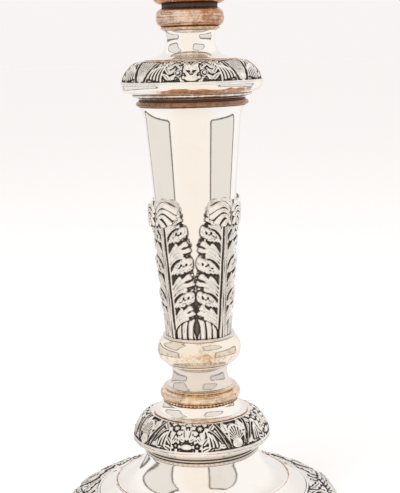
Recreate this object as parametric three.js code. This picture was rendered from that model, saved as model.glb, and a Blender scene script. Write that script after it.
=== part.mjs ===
// A plated table candlestick: a loaded round foot, a tapering column in a calyx of
// acanthus leaves, and a vase-shaped socket with a lift-off nozzle.
// Millimetres, +Z up, origin at the centre of the felted underside.
// Most pieces are turned: each outline is drawn as radius against height and spun round Z.
import * as THREE from "three";

// ---- shared sizes
const SEAM = 0.3; // space left where one piece wraps round another
const SPIN_STEPS = 24; // flats round a large turned piece
const SMALL_SPIN_STEPS = 20; // flats round a narrow turned piece
const ROD_STEPS = 16; // flats round the tie rod and its washer
const CURVE_STEPS = 4; // straight pieces in each curved stretch of an outline
const WALL = 1.2; // sheet thickness of the plated shells
const FILLET = 0.4; // how far a small turned edge stands out or is eased back

// ---- foot
const BASE_R = 72.5; // outside of the foot's border
const PAD_T = 1.2;
const PLATE_T = 1.0;
const FOOT_RIM_W = 5.7;
const FOOT_RIM_H = 9.4;
const FOOT_RIM_ROLL = 1.6; // rounding of the rolled edge the foot stands on
const FOOT_RIM_HEAD_IN = 2.2; // its upper edge, in from the outside of the base
const FOOT_RIM_HOLLOW = 2.6; // pull of its hollow side
const FOOT_LIFT = 0.6; // foot rim's lower edge above the underside of the pad
const BASE_BORDER_W = 16.9;
const BASE_BORDER_RISE = 10.5;
const BASE_BORDER_LIP = 3.0;
const BASE_BORDER_T = 2.6;
const BASE_BORDER_SWELL = 0.32; // share of its width where its face is fullest
const DOME_RISE = 20.5; // from the border's inner edge up to the dome's flat top
const LINE_SHARE = 0.62; // where the dome's line lies, from its top's edge out to the border
const LINE_DROP = 0.765; // how much of the dome's rise is lost by then
const SLOPE_GROWTH = 1.15; // a sheet's height on the dome's slope over its thickness
const DOME_FLAT_W = 7; // flat ring at the dome's top, which carries the mouldings
const PITCH_POCKET = 5.5; // hollow left in the pitch under the nut

// ---- mouldings between foot and column, each one's height and how far it stands out
const STEP_BAND_H = 5;
const STEP_BAND_OUT = 15.4;
const STEP_BAND_GROOVE = 1.1;
const STEP_BAND_LAP = 1; // how much less it covers of the dome's flat top
const LOWER_RIM_H = 4.2;
const LOWER_RIM_OUT = 21.4;
const LOWER_RIM_LAP = 2.4; // how far it reaches in over the step band, past its wall
const LOWER_RIM_BEVEL = 2;
const LOWER_BORDER_H = 12.3;
const LOWER_BORDER_T = 2.6;
const BORDER_LIP_H = 1.6; // height of the upright edge at the head of each border
const BORDER_BULGE = 5; // pull that fills out a border's shoulder
const CAVETTO_H = 6.5;
const CAVETTO_FOOT_OUT = 9.7;
const CAVETTO_HEAD_OUT = 4.4;
const CAVETTO_SEAT_W = 2.4; // width of the foot it stands on
const BEAD_WIRE_H = 1.3;
const BEAD_WIRE_OUT = 4.3;
const LOWER_RING_H = 5.3;
const LOWER_RING_OUT = 6.1;
const LOWER_RING_FOOT_IN = 1.9;
const LOWER_RING_HEAD_IN = 2.4;
const LOWER_FLANGE_H = 1.5;
const LOWER_FLANGE_OUT = 4.2;
const LOWER_FLANGE_BEVEL = 1.1;
const SPOOL_H = 11.2;
const SPOOL_WAIST_IN = 0.7;
const SPOOL_FOOT_OUT = 3.1; // flare of its foot past its waist
const SPOOL_HEAD_OUT = 1.1; // flare of its head past its waist
const KNOP_H = 15;
const KNOP_OUT = 6.8;
const KNOP_EDGE_OUT = 1.8;
const KNOP_HEAD_OUT = 1.9; // its upper edge past its lower one
const CORE_WALL = 2.4; // metal of the mouldings inside the column's foot
const FOOT_RING_H = 1.5;
const FOOT_RING_OUT = 3.8;

// ---- column and leaves
const COLUMN_H = 118.3;
const COLUMN_FOOT_R = 15.2;
const COLUMN_HEAD_R = 27.2;
const COLUMN_FLARE_H = 10;
const COLUMN_FLARE = 2.1; // how far the head stands out past the straight cone
const COLUMN_WALL = 1.6;
const LEAF_COUNT = 4;
const LEAF_ROWS = 20; // flats up each leaf and over its tip
const LEAF_COLUMNS = 6; // flats across it
const LEAF_H = 71;
const LEAF_EDGE_T = 0.9;
const LEAF_RIB_T = 2.0;
const LEAF_CURL_R = 2.4;
const LEAF_TIP_DROP = 7;
const LEAF_LOBES = 5;
const LEAF_GAP_DEG = 3; // clear angle between neighbouring leaves
const LEAF_TURN_DEG = -3; // the leaves' turn from the diagonals
const LEAF_TIP_SHARE = 0.16; // width of the tip over the leaf's full width
const LEAF_TAPER_LATE = 1.9; // how late up the leaf its taper begins
const LEAF_TAPER_FULL = 0.75; // how full its sides stay on the way
const LEAF_LOBE_DEPTH = 0.1;

// ---- capital
const CAP_H = 6.5;
const CAP_OUT = 3.4;
const CAP_RING_OUT = 1.6; // the bare ring at its foot, past the column's head
const CAP_NECK_OUT = 1.0;
const SHOULDER_OUT = 9.0;
const SHOULDER_RIM_H = 5.5;
const SHOULDER_RIM_BEVEL = 2.4;
const SHOULDER_BORDER_H = 10.6;
const SHOULDER_BORDER_T = 2.6;

// ---- neck
const NECK_WAIST_R = 12.2;
const NECK_FOOT_R = 24;
const NECK_H = 15.4;
const NECK_BORE_IN = 1.7;
const NECK_SEAT_W = 2.6; // width of the foot it stands on
const NECK_HEAD_OUT = 1.4; // flare of its head past its waist
const NECK_FLANGE_H = 2;
const NECK_FLANGE_OUT = 2.8;
const NECK_RING_H = 8.5;
const NECK_RING_OUT = 5.1;
const NECK_RING_FOOT_IN = 1.6;
const NECK_RING_HEAD_IN = 1.9;
const STEM_COLLAR_H = 2.5;
const STEM_COLLAR_OUT = 2.0;

// ---- socket and nozzle
const CANDLE_R = 11.1; // bore that holds the candle
const CANDLE_DEPTH = 29;
const NOZZLE_WALL = 1.0;
const NOZZLE_PLAY = 0.4; // radial clearance of the nozzle in its liner
const LINER_WALL = 1.0;
const LINER_LIP = 2.0;
const LINER_TAIL = 4; // how far the liner runs on below the nozzle
const NOZZLE_LIP = 1.4; // the tube's turned-out lip, over the pan
const SOCKET_H = 42.5;
const SOCKET_BULB_OUT = 6.2; // vase's fullest radius past the liner
const SOCKET_WAIST_OUT = 3.4;
const SOCKET_LIP_OUT = 8.6;
const SOCKET_FLOOR_T = 2.5;
const SOCKET_WALL = 1.5;
const SOCKET_SEAT_OUT = 1.2; // its foot past the collar under it
const BULB_SHARE = 0.2; // share of the socket's height where it is fullest
const WAIST_SHARE = 0.64; // and where it is narrowest
const SOCKET_RIM_H = 3;
const SOCKET_RIM_OUT = 10.8;
const PAN_OUT = 20.4; // drip pan's radius past the nozzle tube
const PAN_T = 1.5;
const PAN_DISH = 2.4;
const NOZZLE_BORDER_W = 8;
const NOZZLE_BORDER_H = 4.2;

// ---- tie rod
const ROD_R = 3;
const ROD_PLAY = 0.5;
const ROD_HEAD_R = 6;
const ROD_HEAD_H = 2.5;
const NUT_FLATS = 11;
const NUT_H = 5;
const ROD_PAST_NUT = 2;
const WASHER_T = 1.5;
const WASHER_LAP = 2; // how far the washer bears on the dome's flat top

// ---- finishes
const FINISH = {
  silver: { color: 0xd8d2c8, roughness: 0.16, metalness: 1 },
  chased_silver: { color: 0xa39c92, roughness: 0.34, metalness: 1 },
  worn_copper: { color: 0xb8754f, roughness: 0.28, metalness: 1 },
  iron: { color: 0x4b4845, roughness: 0.55, metalness: 1 },
  pitch: { color: 0x1d1814, roughness: 0.8, metalness: 0 },
  baize: { color: 0x2b4a35, roughness: 0.98, metalness: 0 },
};

const candlestick = new THREE.Group();

function addPiece(name, geometry, finish, parent = candlestick) {
  const mesh = new THREE.Mesh(geometry, new THREE.MeshStandardMaterial(FINISH[finish]));
  mesh.name = name;
  parent.add(mesh);
  return mesh;
}

// An outline of [radius, height] corners; an entry of four numbers is a curve towards
// its last two, pulled by its first two, and one of six has two pulls.
function outlineOf(entries) {
  const path = new THREE.Path();
  entries.forEach((e, i) => {
    if (i === 0) path.moveTo(...e);
    else if (e.length === 2) path.lineTo(...e);
    else if (e.length === 4) path.quadraticCurveTo(...e);
    else path.bezierCurveTo(...e);
  });
  return path.getPoints(CURVE_STEPS);
}

// Spins an outline round Z. It closes on itself, unless it starts and ends on the axis.
function spun(entries, steps = SPIN_STEPS) {
  const points = outlineOf(entries);
  const onAxis = points[0].x === 0;
  if (!onAxis) points.push(points[0].clone());
  if (THREE.ShapeUtils.area(points) > 0) points.reverse();
  return new THREE.LatheGeometry(points.reverse(), steps).rotateX(Math.PI / 2);
}

function addTurned(name, entries, finish, steps, parent) {
  return addPiece(name, spun(entries, steps), finish, parent);
}

// ---- levels, bottom to top
const zPlate = PAD_T;
const zShell = zPlate + PLATE_T;
const zFootRim = FOOT_LIFT;
const zBaseBorder = zFootRim + FOOT_RIM_H;
const zBorderEdge = zBaseBorder + BASE_BORDER_RISE;
const zDomeTop = zBorderEdge + DOME_RISE;
const zLowerRim = zDomeTop + STEP_BAND_H;
const zLowerBorder = zLowerRim + LOWER_RIM_H;
const zCavetto = zLowerBorder + LOWER_BORDER_H;
const zBeadWire = zCavetto + CAVETTO_H;
const zLowerRing = zBeadWire + BEAD_WIRE_H;
const zLowerFlange = zLowerRing + LOWER_RING_H;
const zSpool = zLowerFlange + LOWER_FLANGE_H;
const zKnop = zSpool + SPOOL_H;
const zFootRing = zKnop + KNOP_H;
const zColumn = zFootRing + FOOT_RING_H;
const zCap = zColumn + COLUMN_H;
const zShoulderRim = zCap + CAP_H;
const zShoulderBorder = zShoulderRim + SHOULDER_RIM_H;
const zNeck = zShoulderBorder + SHOULDER_BORDER_H;
const zNeckFlange = zNeck + NECK_H;
const zNeckRing = zNeckFlange + NECK_FLANGE_H;
const zStemCollar = zNeckRing + NECK_RING_H;
const zSocket = zStemCollar + STEM_COLLAR_H;
const zSocketRim = zSocket + SOCKET_H;
const zPan = zSocketRim + SOCKET_RIM_H;

// ---- radii shared by neighbours
const borderInR = BASE_R - BASE_BORDER_W;
const coreBoreR = COLUMN_FOOT_R - CORE_WALL;
const domeTopR = COLUMN_FOOT_R + STEP_BAND_OUT - 1;
const domeBoreR = domeTopR - DOME_FLAT_W;
const neckBoreR = NECK_WAIST_R - NECK_BORE_IN;
const nozzleR = CANDLE_R + NOZZLE_WALL;
const linerInR = nozzleR + NOZZLE_PLAY;
const linerR = linerInR + LINER_WALL;

// ---- foot
const rimInR = BASE_R - FOOT_RIM_W;
addTurned("baize_pad", [[0, 0], [rimInR - 2 * SEAM, 0], [rimInR - 2 * SEAM, PAD_T], [0, PAD_T]],
  "baize");
addTurned("bottom_plate",
  [[0, zPlate], [rimInR - SEAM, zPlate], [rimInR - SEAM, zShell], [0, zShell]], "iron");
addTurned("foot_rim", [
  [rimInR, zFootRim],
  [BASE_R - FOOT_RIM_ROLL, zFootRim],
  [BASE_R + FILLET, zFootRim + FILLET, BASE_R - SEAM, zFootRim + 0.4 * FOOT_RIM_H],
  [BASE_R - FOOT_RIM_HOLLOW, zFootRim + 0.6 * FOOT_RIM_H, BASE_R - FOOT_RIM_HEAD_IN, zBaseBorder],
  [rimInR, zBaseBorder],
], "silver");

// The border's upper face is a low swell; its underside runs parallel to the shell below.
const borderUnderDrop = BASE_BORDER_T + FILLET;
addTurned("base_border", [
  [rimInR, zBaseBorder],
  [BASE_R - FOOT_RIM_HEAD_IN, zBaseBorder],
  [BASE_R, zBaseBorder + 0.5 * BASE_BORDER_LIP, BASE_R, zBaseBorder + BASE_BORDER_LIP],
  [BASE_R - BASE_BORDER_SWELL * BASE_BORDER_W, zBorderEdge - 0.5, borderInR, zBorderEdge],
  [borderInR, zBorderEdge - BASE_BORDER_T],
], "chased_silver");

// The dome is a thin shell that runs on under the border and stands on the bottom plate.
const lineR = domeTopR + LINE_SHARE * (borderInR - domeTopR);
const zLine = zDomeTop - LINE_DROP * DOME_RISE;
const shellEdgeR = borderInR - SEAM;
const shellFootR = rimInR - SEAM;
function domeOutline(inset) {
  const drop = inset * SLOPE_GROWTH; // the dome slopes, so a sheet is a little taller than thick
  return [
    [domeTopR - inset, zDomeTop - inset],
    [
      domeTopR - inset + 1.2, zDomeTop - 0.45 * DOME_RISE,
      domeTopR - inset + 0.45 * (lineR - domeTopR), zLine + 0.2 * DOME_RISE - drop,
      lineR, zLine - drop,
    ],
    [shellEdgeR - inset, zBorderEdge - drop + inset * 0.3],
    [shellEdgeR - inset, zBorderEdge - borderUnderDrop - drop + inset * 0.3],
    [shellFootR - inset, zBaseBorder - SEAM - drop + inset * 0.3],
    [shellFootR - inset, zShell],
  ];
}
addTurned("base_shell", [
  [domeBoreR, zDomeTop],
  ...domeOutline(0),
  ...returned(domeOutline(WALL)),
  [domeBoreR, zDomeTop - WALL],
], "silver");

// Runs an outline the other way, keeping each curve with its own two ends.
function returned(entries) {
  const ends = entries.map((e) => e.slice(-2));
  const back = [];
  for (let i = entries.length - 1; i >= 0; i--) {
    const pulls = i + 1 < entries.length ? entries[i + 1].slice(0, -2) : [];
    const turned = pulls.length === 4 ? [...pulls.slice(2), ...pulls.slice(0, 2)] : pulls;
    back.push([...turned, ...ends[i]]);
  }
  return back;
}

const pitchInset = WALL + 2 * SEAM;
const zPitchPocket = zDomeTop - WALL - WASHER_T - NUT_H - PITCH_POCKET;
const pitchRows = domeOutline(pitchInset);
pitchRows.shift();
addTurned("pitch_filling", [
  [0, zPitchPocket],
  [domeTopR - pitchInset, zPitchPocket],
  [
    domeTopR - pitchInset + 3, zPitchPocket - 1,
    lineR - 4, zLine - pitchInset + 1,
    lineR, zLine - pitchInset * SLOPE_GROWTH,
  ],
  ...pitchRows.slice(1),
  [0, zShell],
], "pitch");

// ---- mouldings between foot and column
const stepR = COLUMN_FOOT_R + STEP_BAND_OUT;
const lowerRimR = COLUMN_FOOT_R + LOWER_RIM_OUT;
const cavettoFootR = COLUMN_FOOT_R + CAVETTO_FOOT_OUT;
const cavettoHeadR = COLUMN_FOOT_R + CAVETTO_HEAD_OUT;
addTurned("step_band", [
  [domeBoreR + STEP_BAND_LAP, zDomeTop],
  [stepR - 2 * FILLET, zDomeTop],
  [stepR - 0.5 * FILLET, zDomeTop + 0.25 * STEP_BAND_H],
  [stepR - STEP_BAND_GROOVE, zDomeTop + 0.4 * STEP_BAND_H],
  [stepR, zDomeTop + 0.6 * STEP_BAND_H],
  [stepR, zLowerRim],
  [domeBoreR + STEP_BAND_LAP, zLowerRim],
], "worn_copper");
addTurned("lower_rim", [
  [stepR - WALL - LOWER_RIM_LAP, zLowerRim],
  [stepR + FILLET, zLowerRim],
  [lowerRimR - LOWER_RIM_BEVEL, zLowerRim + 0.25 * LOWER_RIM_H],
  [lowerRimR + 0.3, zLowerRim + 0.6 * LOWER_RIM_H, lowerRimR - 0.1, zLowerBorder],
  [stepR - WALL - LOWER_RIM_LAP, zLowerBorder],
], "silver");
const lowerBorderFootR = lowerRimR - 0.5 * FILLET;
const borderHeadR = cavettoFootR + 2 * SEAM;
addTurned("lower_border", [
  [lowerBorderFootR - LOWER_BORDER_T, zLowerBorder],
  [lowerBorderFootR, zLowerBorder],
  [
    lowerBorderFootR - FILLET, zLowerBorder + 0.55 * LOWER_BORDER_H,
    borderHeadR + BORDER_BULGE, zCavetto - 0.5,
    borderHeadR, zCavetto,
  ],
  [borderHeadR - LOWER_BORDER_T, zCavetto],
  [borderHeadR - LOWER_BORDER_T, zCavetto - BORDER_LIP_H],
  [
    borderHeadR + LOWER_BORDER_T, zCavetto - 1.5 * BORDER_LIP_H,
    lowerBorderFootR - LOWER_BORDER_T - FILLET, zLowerBorder + 0.5 * LOWER_BORDER_H,
    lowerBorderFootR - LOWER_BORDER_T, zLowerBorder,
  ],
], "chased_silver");
addTurned("foot_cavetto", [
  [cavettoFootR - CAVETTO_SEAT_W, zCavetto],
  [cavettoFootR, zCavetto],
  [cavettoHeadR + 3 * FILLET, zCavetto + 0.14 * CAVETTO_H, cavettoHeadR, zBeadWire],
  [coreBoreR, zBeadWire],
  [coreBoreR, zBeadWire - WALL],
  [cavettoHeadR - 1.5 * WALL, zCavetto + 0.5 * CAVETTO_H],
], "silver");

const bead = COLUMN_FOOT_R + BEAD_WIRE_OUT;
addTurned("bead_wire", [
  [coreBoreR, zBeadWire],
  [bead - FILLET, zBeadWire],
  [bead + FILLET, zBeadWire + 0.5 * BEAD_WIRE_H, bead - FILLET, zLowerRing],
  [coreBoreR, zLowerRing],
], "worn_copper");
const ringR = COLUMN_FOOT_R + LOWER_RING_OUT;
addTurned("lower_ring", [
  [coreBoreR, zLowerRing],
  [ringR - LOWER_RING_FOOT_IN, zLowerRing],
  [
    ringR + 0.6, zLowerRing + 0.1 * LOWER_RING_H,
    ringR + 0.6, zLowerRing + 0.9 * LOWER_RING_H,
    ringR - LOWER_RING_HEAD_IN, zLowerFlange,
  ],
  [coreBoreR, zLowerFlange],
], "worn_copper");
const flangeR = COLUMN_FOOT_R + LOWER_FLANGE_OUT;
addTurned("lower_flange", [
  [coreBoreR, zLowerFlange],
  [flangeR - FILLET, zLowerFlange],
  [flangeR, zLowerFlange + 0.5 * LOWER_FLANGE_H],
  [flangeR - LOWER_FLANGE_BEVEL, zSpool],
  [coreBoreR, zSpool],
], "silver");
const spoolR = COLUMN_FOOT_R - SPOOL_WAIST_IN;
addTurned("lower_spool", [
  [coreBoreR, zSpool],
  [spoolR + SPOOL_FOOT_OUT, zSpool],
  [spoolR, zSpool + 0.28 * SPOOL_H, spoolR, zSpool + 0.62 * SPOOL_H],
  [spoolR, zKnop - 2 * FILLET, spoolR + SPOOL_HEAD_OUT, zKnop],
  [coreBoreR, zKnop],
], "silver", SMALL_SPIN_STEPS);
const knopR = COLUMN_FOOT_R + KNOP_OUT;
const knopEdgeR = COLUMN_FOOT_R + KNOP_EDGE_OUT;
addTurned("column_knop", [
  [coreBoreR, zKnop],
  [knopEdgeR, zKnop],
  [knopR - 0.6, zKnop + 0.12 * KNOP_H, knopR, zKnop + 0.5 * KNOP_H],
  [knopR + 0.2, zKnop + 0.86 * KNOP_H, knopEdgeR + KNOP_HEAD_OUT, zFootRing],
  [coreBoreR, zFootRing],
], "silver");
const footRingR = COLUMN_FOOT_R + FOOT_RING_OUT;
addTurned("column_foot_ring", [
  [coreBoreR, zFootRing],
  [footRingR - FILLET, zFootRing],
  [footRingR + FILLET, zFootRing + 0.5 * FOOT_RING_H, footRingR - FILLET, zColumn],
  [coreBoreR, zColumn],
], "silver");

// ---- column: a straight cone with a small flare under the capital
const coneHeadR = COLUMN_HEAD_R - COLUMN_FLARE;
const zFlare = zCap - COLUMN_FLARE_H;
const coneSlope = (coneHeadR - COLUMN_FOOT_R) / COLUMN_H;
const coneR = (z) => COLUMN_FOOT_R + coneSlope * (z - zColumn);
const flarePull = [coneR(zFlare + 0.6 * COLUMN_FLARE_H), zFlare + 0.6 * COLUMN_FLARE_H];
addTurned("column", [
  [COLUMN_FOOT_R, zColumn],
  [coneR(zFlare), zFlare],
  [...flarePull, COLUMN_HEAD_R, zCap],
  [COLUMN_HEAD_R - COLUMN_WALL, zCap],
  [flarePull[0] - COLUMN_WALL, flarePull[1], coneR(zFlare) - COLUMN_WALL, zFlare],
  [COLUMN_FOOT_R - COLUMN_WALL, zColumn],
], "silver");

// ---- acanthus leaves: a lobed sheet with a raised midrib, bent out and down at its tip
const leafRise = LEAF_H - LEAF_CURL_R - LEAF_RIB_T;
const leafCurl = Math.PI * LEAF_CURL_R;
const leafLength = leafRise + leafCurl + LEAF_TIP_DROP;

// The leaf's centre line: how far it stands off the column, its height, and its outward side.
function leafSpine(t) {
  const s = t * leafLength;
  if (s < leafRise) return { out: 0, z: s, nOut: 1, nZ: 0 };
  const a = Math.min((s - leafRise) / LEAF_CURL_R, Math.PI);
  const drop = Math.max(s - leafRise - leafCurl, 0);
  return {
    out: LEAF_CURL_R * (1 - Math.cos(a)),
    z: leafRise + LEAF_CURL_R * Math.sin(a) - drop,
    nOut: Math.cos(a),
    nZ: -Math.sin(a),
  };
}

// Half the leaf's width as an angle: full over most of its height, lobed, pointed at the tip.
function leafHalfAngle(t) {
  const full = Math.PI / LEAF_COUNT - THREE.MathUtils.degToRad(LEAF_GAP_DEG / 2);
  const narrowing = Math.cos(0.5 * Math.PI * Math.pow(t, LEAF_TAPER_LATE));
  const taper = LEAF_TIP_SHARE + (1 - LEAF_TIP_SHARE) * Math.pow(narrowing, LEAF_TAPER_FULL);
  const lobes = 1 - LEAF_LOBE_DEPTH * (1 - Math.abs(Math.sin(Math.PI * LEAF_LOBES * t)));
  return full * taper * lobes;
}

function leafGeometry() {
  const position = [];
  const index = [];
  const rowLength = LEAF_COLUMNS + 1;
  const sheet = rowLength * (LEAF_ROWS + 1);
  const seat = SEAM + 0.5 * LEAF_EDGE_T;
  for (const face of [0, 1]) {
    for (let i = 0; i <= LEAF_ROWS; i++) {
      const spine = leafSpine(i / LEAF_ROWS);
      const half = leafHalfAngle(i / LEAF_ROWS);
      const chordLift = 1 / Math.cos(half / LEAF_COLUMNS); // keeps its flats off the column
      for (let j = 0; j <= LEAF_COLUMNS; j++) {
        const side = (2 * j) / LEAF_COLUMNS - 1;
        const rib = (LEAF_RIB_T - LEAF_EDGE_T) * (1 - Math.abs(side));
        const shift = face ? 0.5 * LEAF_EDGE_T + rib : -0.5 * LEAF_EDGE_T;
        const z = zColumn + SEAM + spine.z + shift * spine.nZ;
        const r = coneR(z) * chordLift + seat + spine.out + shift * spine.nOut;
        const angle = side * half;
        position.push(r * Math.cos(angle), r * Math.sin(angle), z);
      }
    }
  }
  const quad = (a, b, c, d) => index.push(a, b, c, a, c, d);
  for (let i = 0; i < LEAF_ROWS; i++) {
    for (let j = 0; j < LEAF_COLUMNS; j++) {
      const a = i * rowLength + j;
      quad(a, a + rowLength, a + rowLength + 1, a + 1);
      quad(sheet + a, sheet + a + 1, sheet + a + rowLength + 1, sheet + a + rowLength);
    }
    const left = i * rowLength;
    const right = left + LEAF_COLUMNS;
    quad(left, sheet + left, sheet + left + rowLength, left + rowLength);
    quad(right, right + rowLength, sheet + right + rowLength, sheet + right);
  }
  for (let j = 0; j < LEAF_COLUMNS; j++) {
    const top = LEAF_ROWS * rowLength + j;
    quad(j, j + 1, sheet + j + 1, sheet + j);
    quad(top, sheet + top, sheet + top + 1, top + 1);
  }
  const geometry = new THREE.BufferGeometry();
  geometry.setAttribute("position", new THREE.Float32BufferAttribute(position, 3));
  geometry.setIndex(index);
  geometry.computeVertexNormals();
  return geometry;
}

for (let i = 0; i < LEAF_COUNT; i++) {
  const leaf = addPiece(`acanthus_leaf_${i + 1}`, leafGeometry(), "chased_silver");
  leaf.rotation.z = ((i + 0.5) * 2 * Math.PI) / LEAF_COUNT + THREE.MathUtils.degToRad(LEAF_TURN_DEG);
}

// ---- capital
const capR = COLUMN_HEAD_R + CAP_OUT;
const shoulderR = COLUMN_HEAD_R + SHOULDER_OUT;
const capBoreR = COLUMN_HEAD_R - COLUMN_WALL - 1;
addTurned("column_cap", [
  [capBoreR, zCap],
  [COLUMN_HEAD_R + SEAM, zCap],
  [COLUMN_HEAD_R + FILLET, zCap + 0.3 * CAP_H, COLUMN_HEAD_R + CAP_RING_OUT, zCap + 0.42 * CAP_H],
  [COLUMN_HEAD_R + CAP_NECK_OUT, zCap + 0.62 * CAP_H],
  [capR - FILLET, zCap + 0.76 * CAP_H],
  [capR, zShoulderRim],
  [capBoreR, zShoulderRim],
], "worn_copper");
addTurned("shoulder_rim", [
  [capBoreR + 1, zShoulderRim],
  [capR + 0.5 * FILLET, zShoulderRim],
  [shoulderR - SHOULDER_RIM_BEVEL, zShoulderRim + 0.16 * SHOULDER_RIM_H],
  [shoulderR + 0.2, zShoulderRim + 0.5 * SHOULDER_RIM_H, shoulderR, zShoulderBorder],
  [capBoreR + 1, zShoulderBorder],
], "silver");
const shoulderHeadR = NECK_FOOT_R + FILLET;
addTurned("shoulder_border", [
  [shoulderR - SHOULDER_BORDER_T, zShoulderBorder],
  [shoulderR, zShoulderBorder],
  [
    shoulderR, zShoulderBorder + 0.62 * SHOULDER_BORDER_H,
    shoulderHeadR + 1.2 * BORDER_BULGE, zNeck - SEAM,
    shoulderHeadR, zNeck,
  ],
  [shoulderHeadR - 1.5 * SHOULDER_BORDER_T, zNeck],
  [shoulderHeadR - 1.5 * SHOULDER_BORDER_T, zNeck - BORDER_LIP_H],
  [
    shoulderHeadR + 0.8 * BORDER_BULGE, zNeck - 1.5 * BORDER_LIP_H,
    shoulderR - SHOULDER_BORDER_T, zShoulderBorder + 0.5 * SHOULDER_BORDER_H,
    shoulderR - SHOULDER_BORDER_T, zShoulderBorder,
  ],
], "chased_silver");

// ---- neck
addTurned("neck_spool", [
  [NECK_FOOT_R - NECK_SEAT_W, zNeck],
  [NECK_FOOT_R, zNeck],
  [
    NECK_WAIST_R + NECK_SEAT_W, zNeck + 0.14 * NECK_H,
    NECK_WAIST_R, zNeck + 0.36 * NECK_H,
    NECK_WAIST_R, zNeck + 0.76 * NECK_H,
  ],
  [NECK_WAIST_R, zNeckFlange - NECK_HEAD_OUT, NECK_WAIST_R + NECK_HEAD_OUT, zNeckFlange],
  [neckBoreR, zNeckFlange],
  [neckBoreR, zNeck + 0.6 * NECK_H],
  [neckBoreR, zNeck + 0.1 * NECK_H, NECK_FOOT_R - NECK_SEAT_W, zNeck],
], "silver");
const neckFlangeR = NECK_WAIST_R + NECK_FLANGE_OUT;
addTurned("neck_flange", [
  [neckBoreR, zNeckFlange],
  [neckFlangeR - 2 * FILLET, zNeckFlange],
  [neckFlangeR, zNeckFlange + 0.5 * NECK_FLANGE_H],
  [neckFlangeR - 0.5 * FILLET, zNeckRing],
  [neckBoreR, zNeckRing],
], "silver", SMALL_SPIN_STEPS);
const neckRingR = NECK_WAIST_R + NECK_RING_OUT;
addTurned("neck_ring", [
  [neckBoreR, zNeckRing],
  [neckRingR - NECK_RING_FOOT_IN, zNeckRing],
  [
    neckRingR + 0.5, zNeckRing + 0.2 * NECK_RING_H,
    neckRingR + 0.5, zNeckRing + 0.8 * NECK_RING_H,
    neckRingR - NECK_RING_HEAD_IN, zStemCollar,
  ],
  [neckBoreR, zStemCollar],
], "worn_copper");
const stemCollarR = NECK_WAIST_R + STEM_COLLAR_OUT;
addTurned("stem_collar", [
  [neckBoreR, zStemCollar],
  [stemCollarR, zStemCollar],
  [stemCollarR, zSocket],
  [neckBoreR, zSocket],
], "worn_copper", SMALL_SPIN_STEPS);

// ---- socket: a vase with a floor for the rod's head, a rim, and a liner for the nozzle
const vaseBulbR = linerR + SOCKET_BULB_OUT;
const vaseWaistR = linerR + SOCKET_WAIST_OUT;
const vaseLipR = linerR + SOCKET_LIP_OUT;
const rodHoleR = ROD_R + ROD_PLAY;
const zBulb = zSocket + BULB_SHARE * SOCKET_H;
const zWaist = zSocket + WAIST_SHARE * SOCKET_H;
addTurned("socket_vase", [
  [rodHoleR, zSocket],
  [stemCollarR + SOCKET_SEAT_OUT, zSocket],
  [vaseBulbR - 0.2, zSocket + 1, vaseBulbR, zBulb],
  [vaseBulbR, zBulb + 0.22 * SOCKET_H, vaseWaistR, zWaist],
  [vaseWaistR, zWaist + 0.22 * SOCKET_H, vaseLipR, zSocketRim],
  [vaseLipR - 2 * SOCKET_WALL, zSocketRim],
  [vaseWaistR - SOCKET_WALL, zWaist + 0.2 * SOCKET_H, vaseWaistR - SOCKET_WALL, zWaist],
  [vaseBulbR - SOCKET_WALL, zBulb + 0.2 * SOCKET_H, vaseBulbR - SOCKET_WALL, zBulb],
  [
    vaseBulbR - SOCKET_WALL, zSocket + SOCKET_FLOOR_T + 0.5,
    stemCollarR - STEM_COLLAR_OUT, zSocket + SOCKET_FLOOR_T,
  ],
  [rodHoleR, zSocket + SOCKET_FLOOR_T],
], "silver");
const socketRimR = linerR + SOCKET_RIM_OUT;
const lipR = linerR + LINER_LIP;
const zLip = zPan - LINER_WALL;
addTurned("socket_rim", [
  [linerR + SEAM, zSocketRim],
  [vaseLipR + FILLET, zSocketRim],
  [socketRimR + 2 * SEAM, zSocketRim + 0.5 * SOCKET_RIM_H, vaseLipR + FILLET, zPan],
  [lipR + SEAM, zPan],
  [lipR + SEAM, zLip],
  [linerR + SEAM, zLip],
], "silver");
const zNozzle = zPan + PAN_T - CANDLE_DEPTH;
addTurned("socket_liner", [
  [linerInR, zNozzle - LINER_TAIL],
  [linerR, zNozzle - LINER_TAIL],
  [linerR, zLip],
  [lipR, zLip],
  [lipR, zPan],
  [linerInR, zPan],
], "worn_copper", SPIN_STEPS);

// ---- tie rod: its head stands on the socket's floor, its nut pulls up under the dome
const zRodHead = zSocket + SOCKET_FLOOR_T;
const zWasher = zDomeTop - WALL - WASHER_T;
const zRodFoot = zWasher - NUT_H - ROD_PAST_NUT;
addTurned("tie_rod", [
  [0, zRodFoot],
  [ROD_R, zRodFoot],
  [ROD_R, zRodHead],
  [ROD_HEAD_R, zRodHead],
  [ROD_HEAD_R, zRodHead + ROD_HEAD_H],
  [0, zRodHead + ROD_HEAD_H],
], "iron", ROD_STEPS);
addTurned("rod_washer", [
  [rodHoleR, zWasher],
  [domeBoreR + WASHER_LAP, zWasher],
  [domeBoreR + WASHER_LAP, zWasher + WASHER_T],
  [rodHoleR, zWasher + WASHER_T],
], "iron", ROD_STEPS);
const nutOutline = new THREE.Shape();
for (let i = 0; i < 6; i++) {
  const a = (i * Math.PI) / 3;
  const corner = NUT_FLATS / Math.sqrt(3);
  if (i) nutOutline.lineTo(corner * Math.cos(a), corner * Math.sin(a));
  else nutOutline.moveTo(corner, 0);
}
nutOutline.closePath();
const nutHole = new THREE.Path();
nutHole.absarc(0, 0, rodHoleR, 0, 2 * Math.PI, true);
nutOutline.holes.push(nutHole);
const nut = new THREE.ExtrudeGeometry(nutOutline, {
  depth: NUT_H, bevelEnabled: false, curveSegments: 8,
});
addPiece("rod_nut", nut, "iron").position.z = zWasher - NUT_H;

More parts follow.
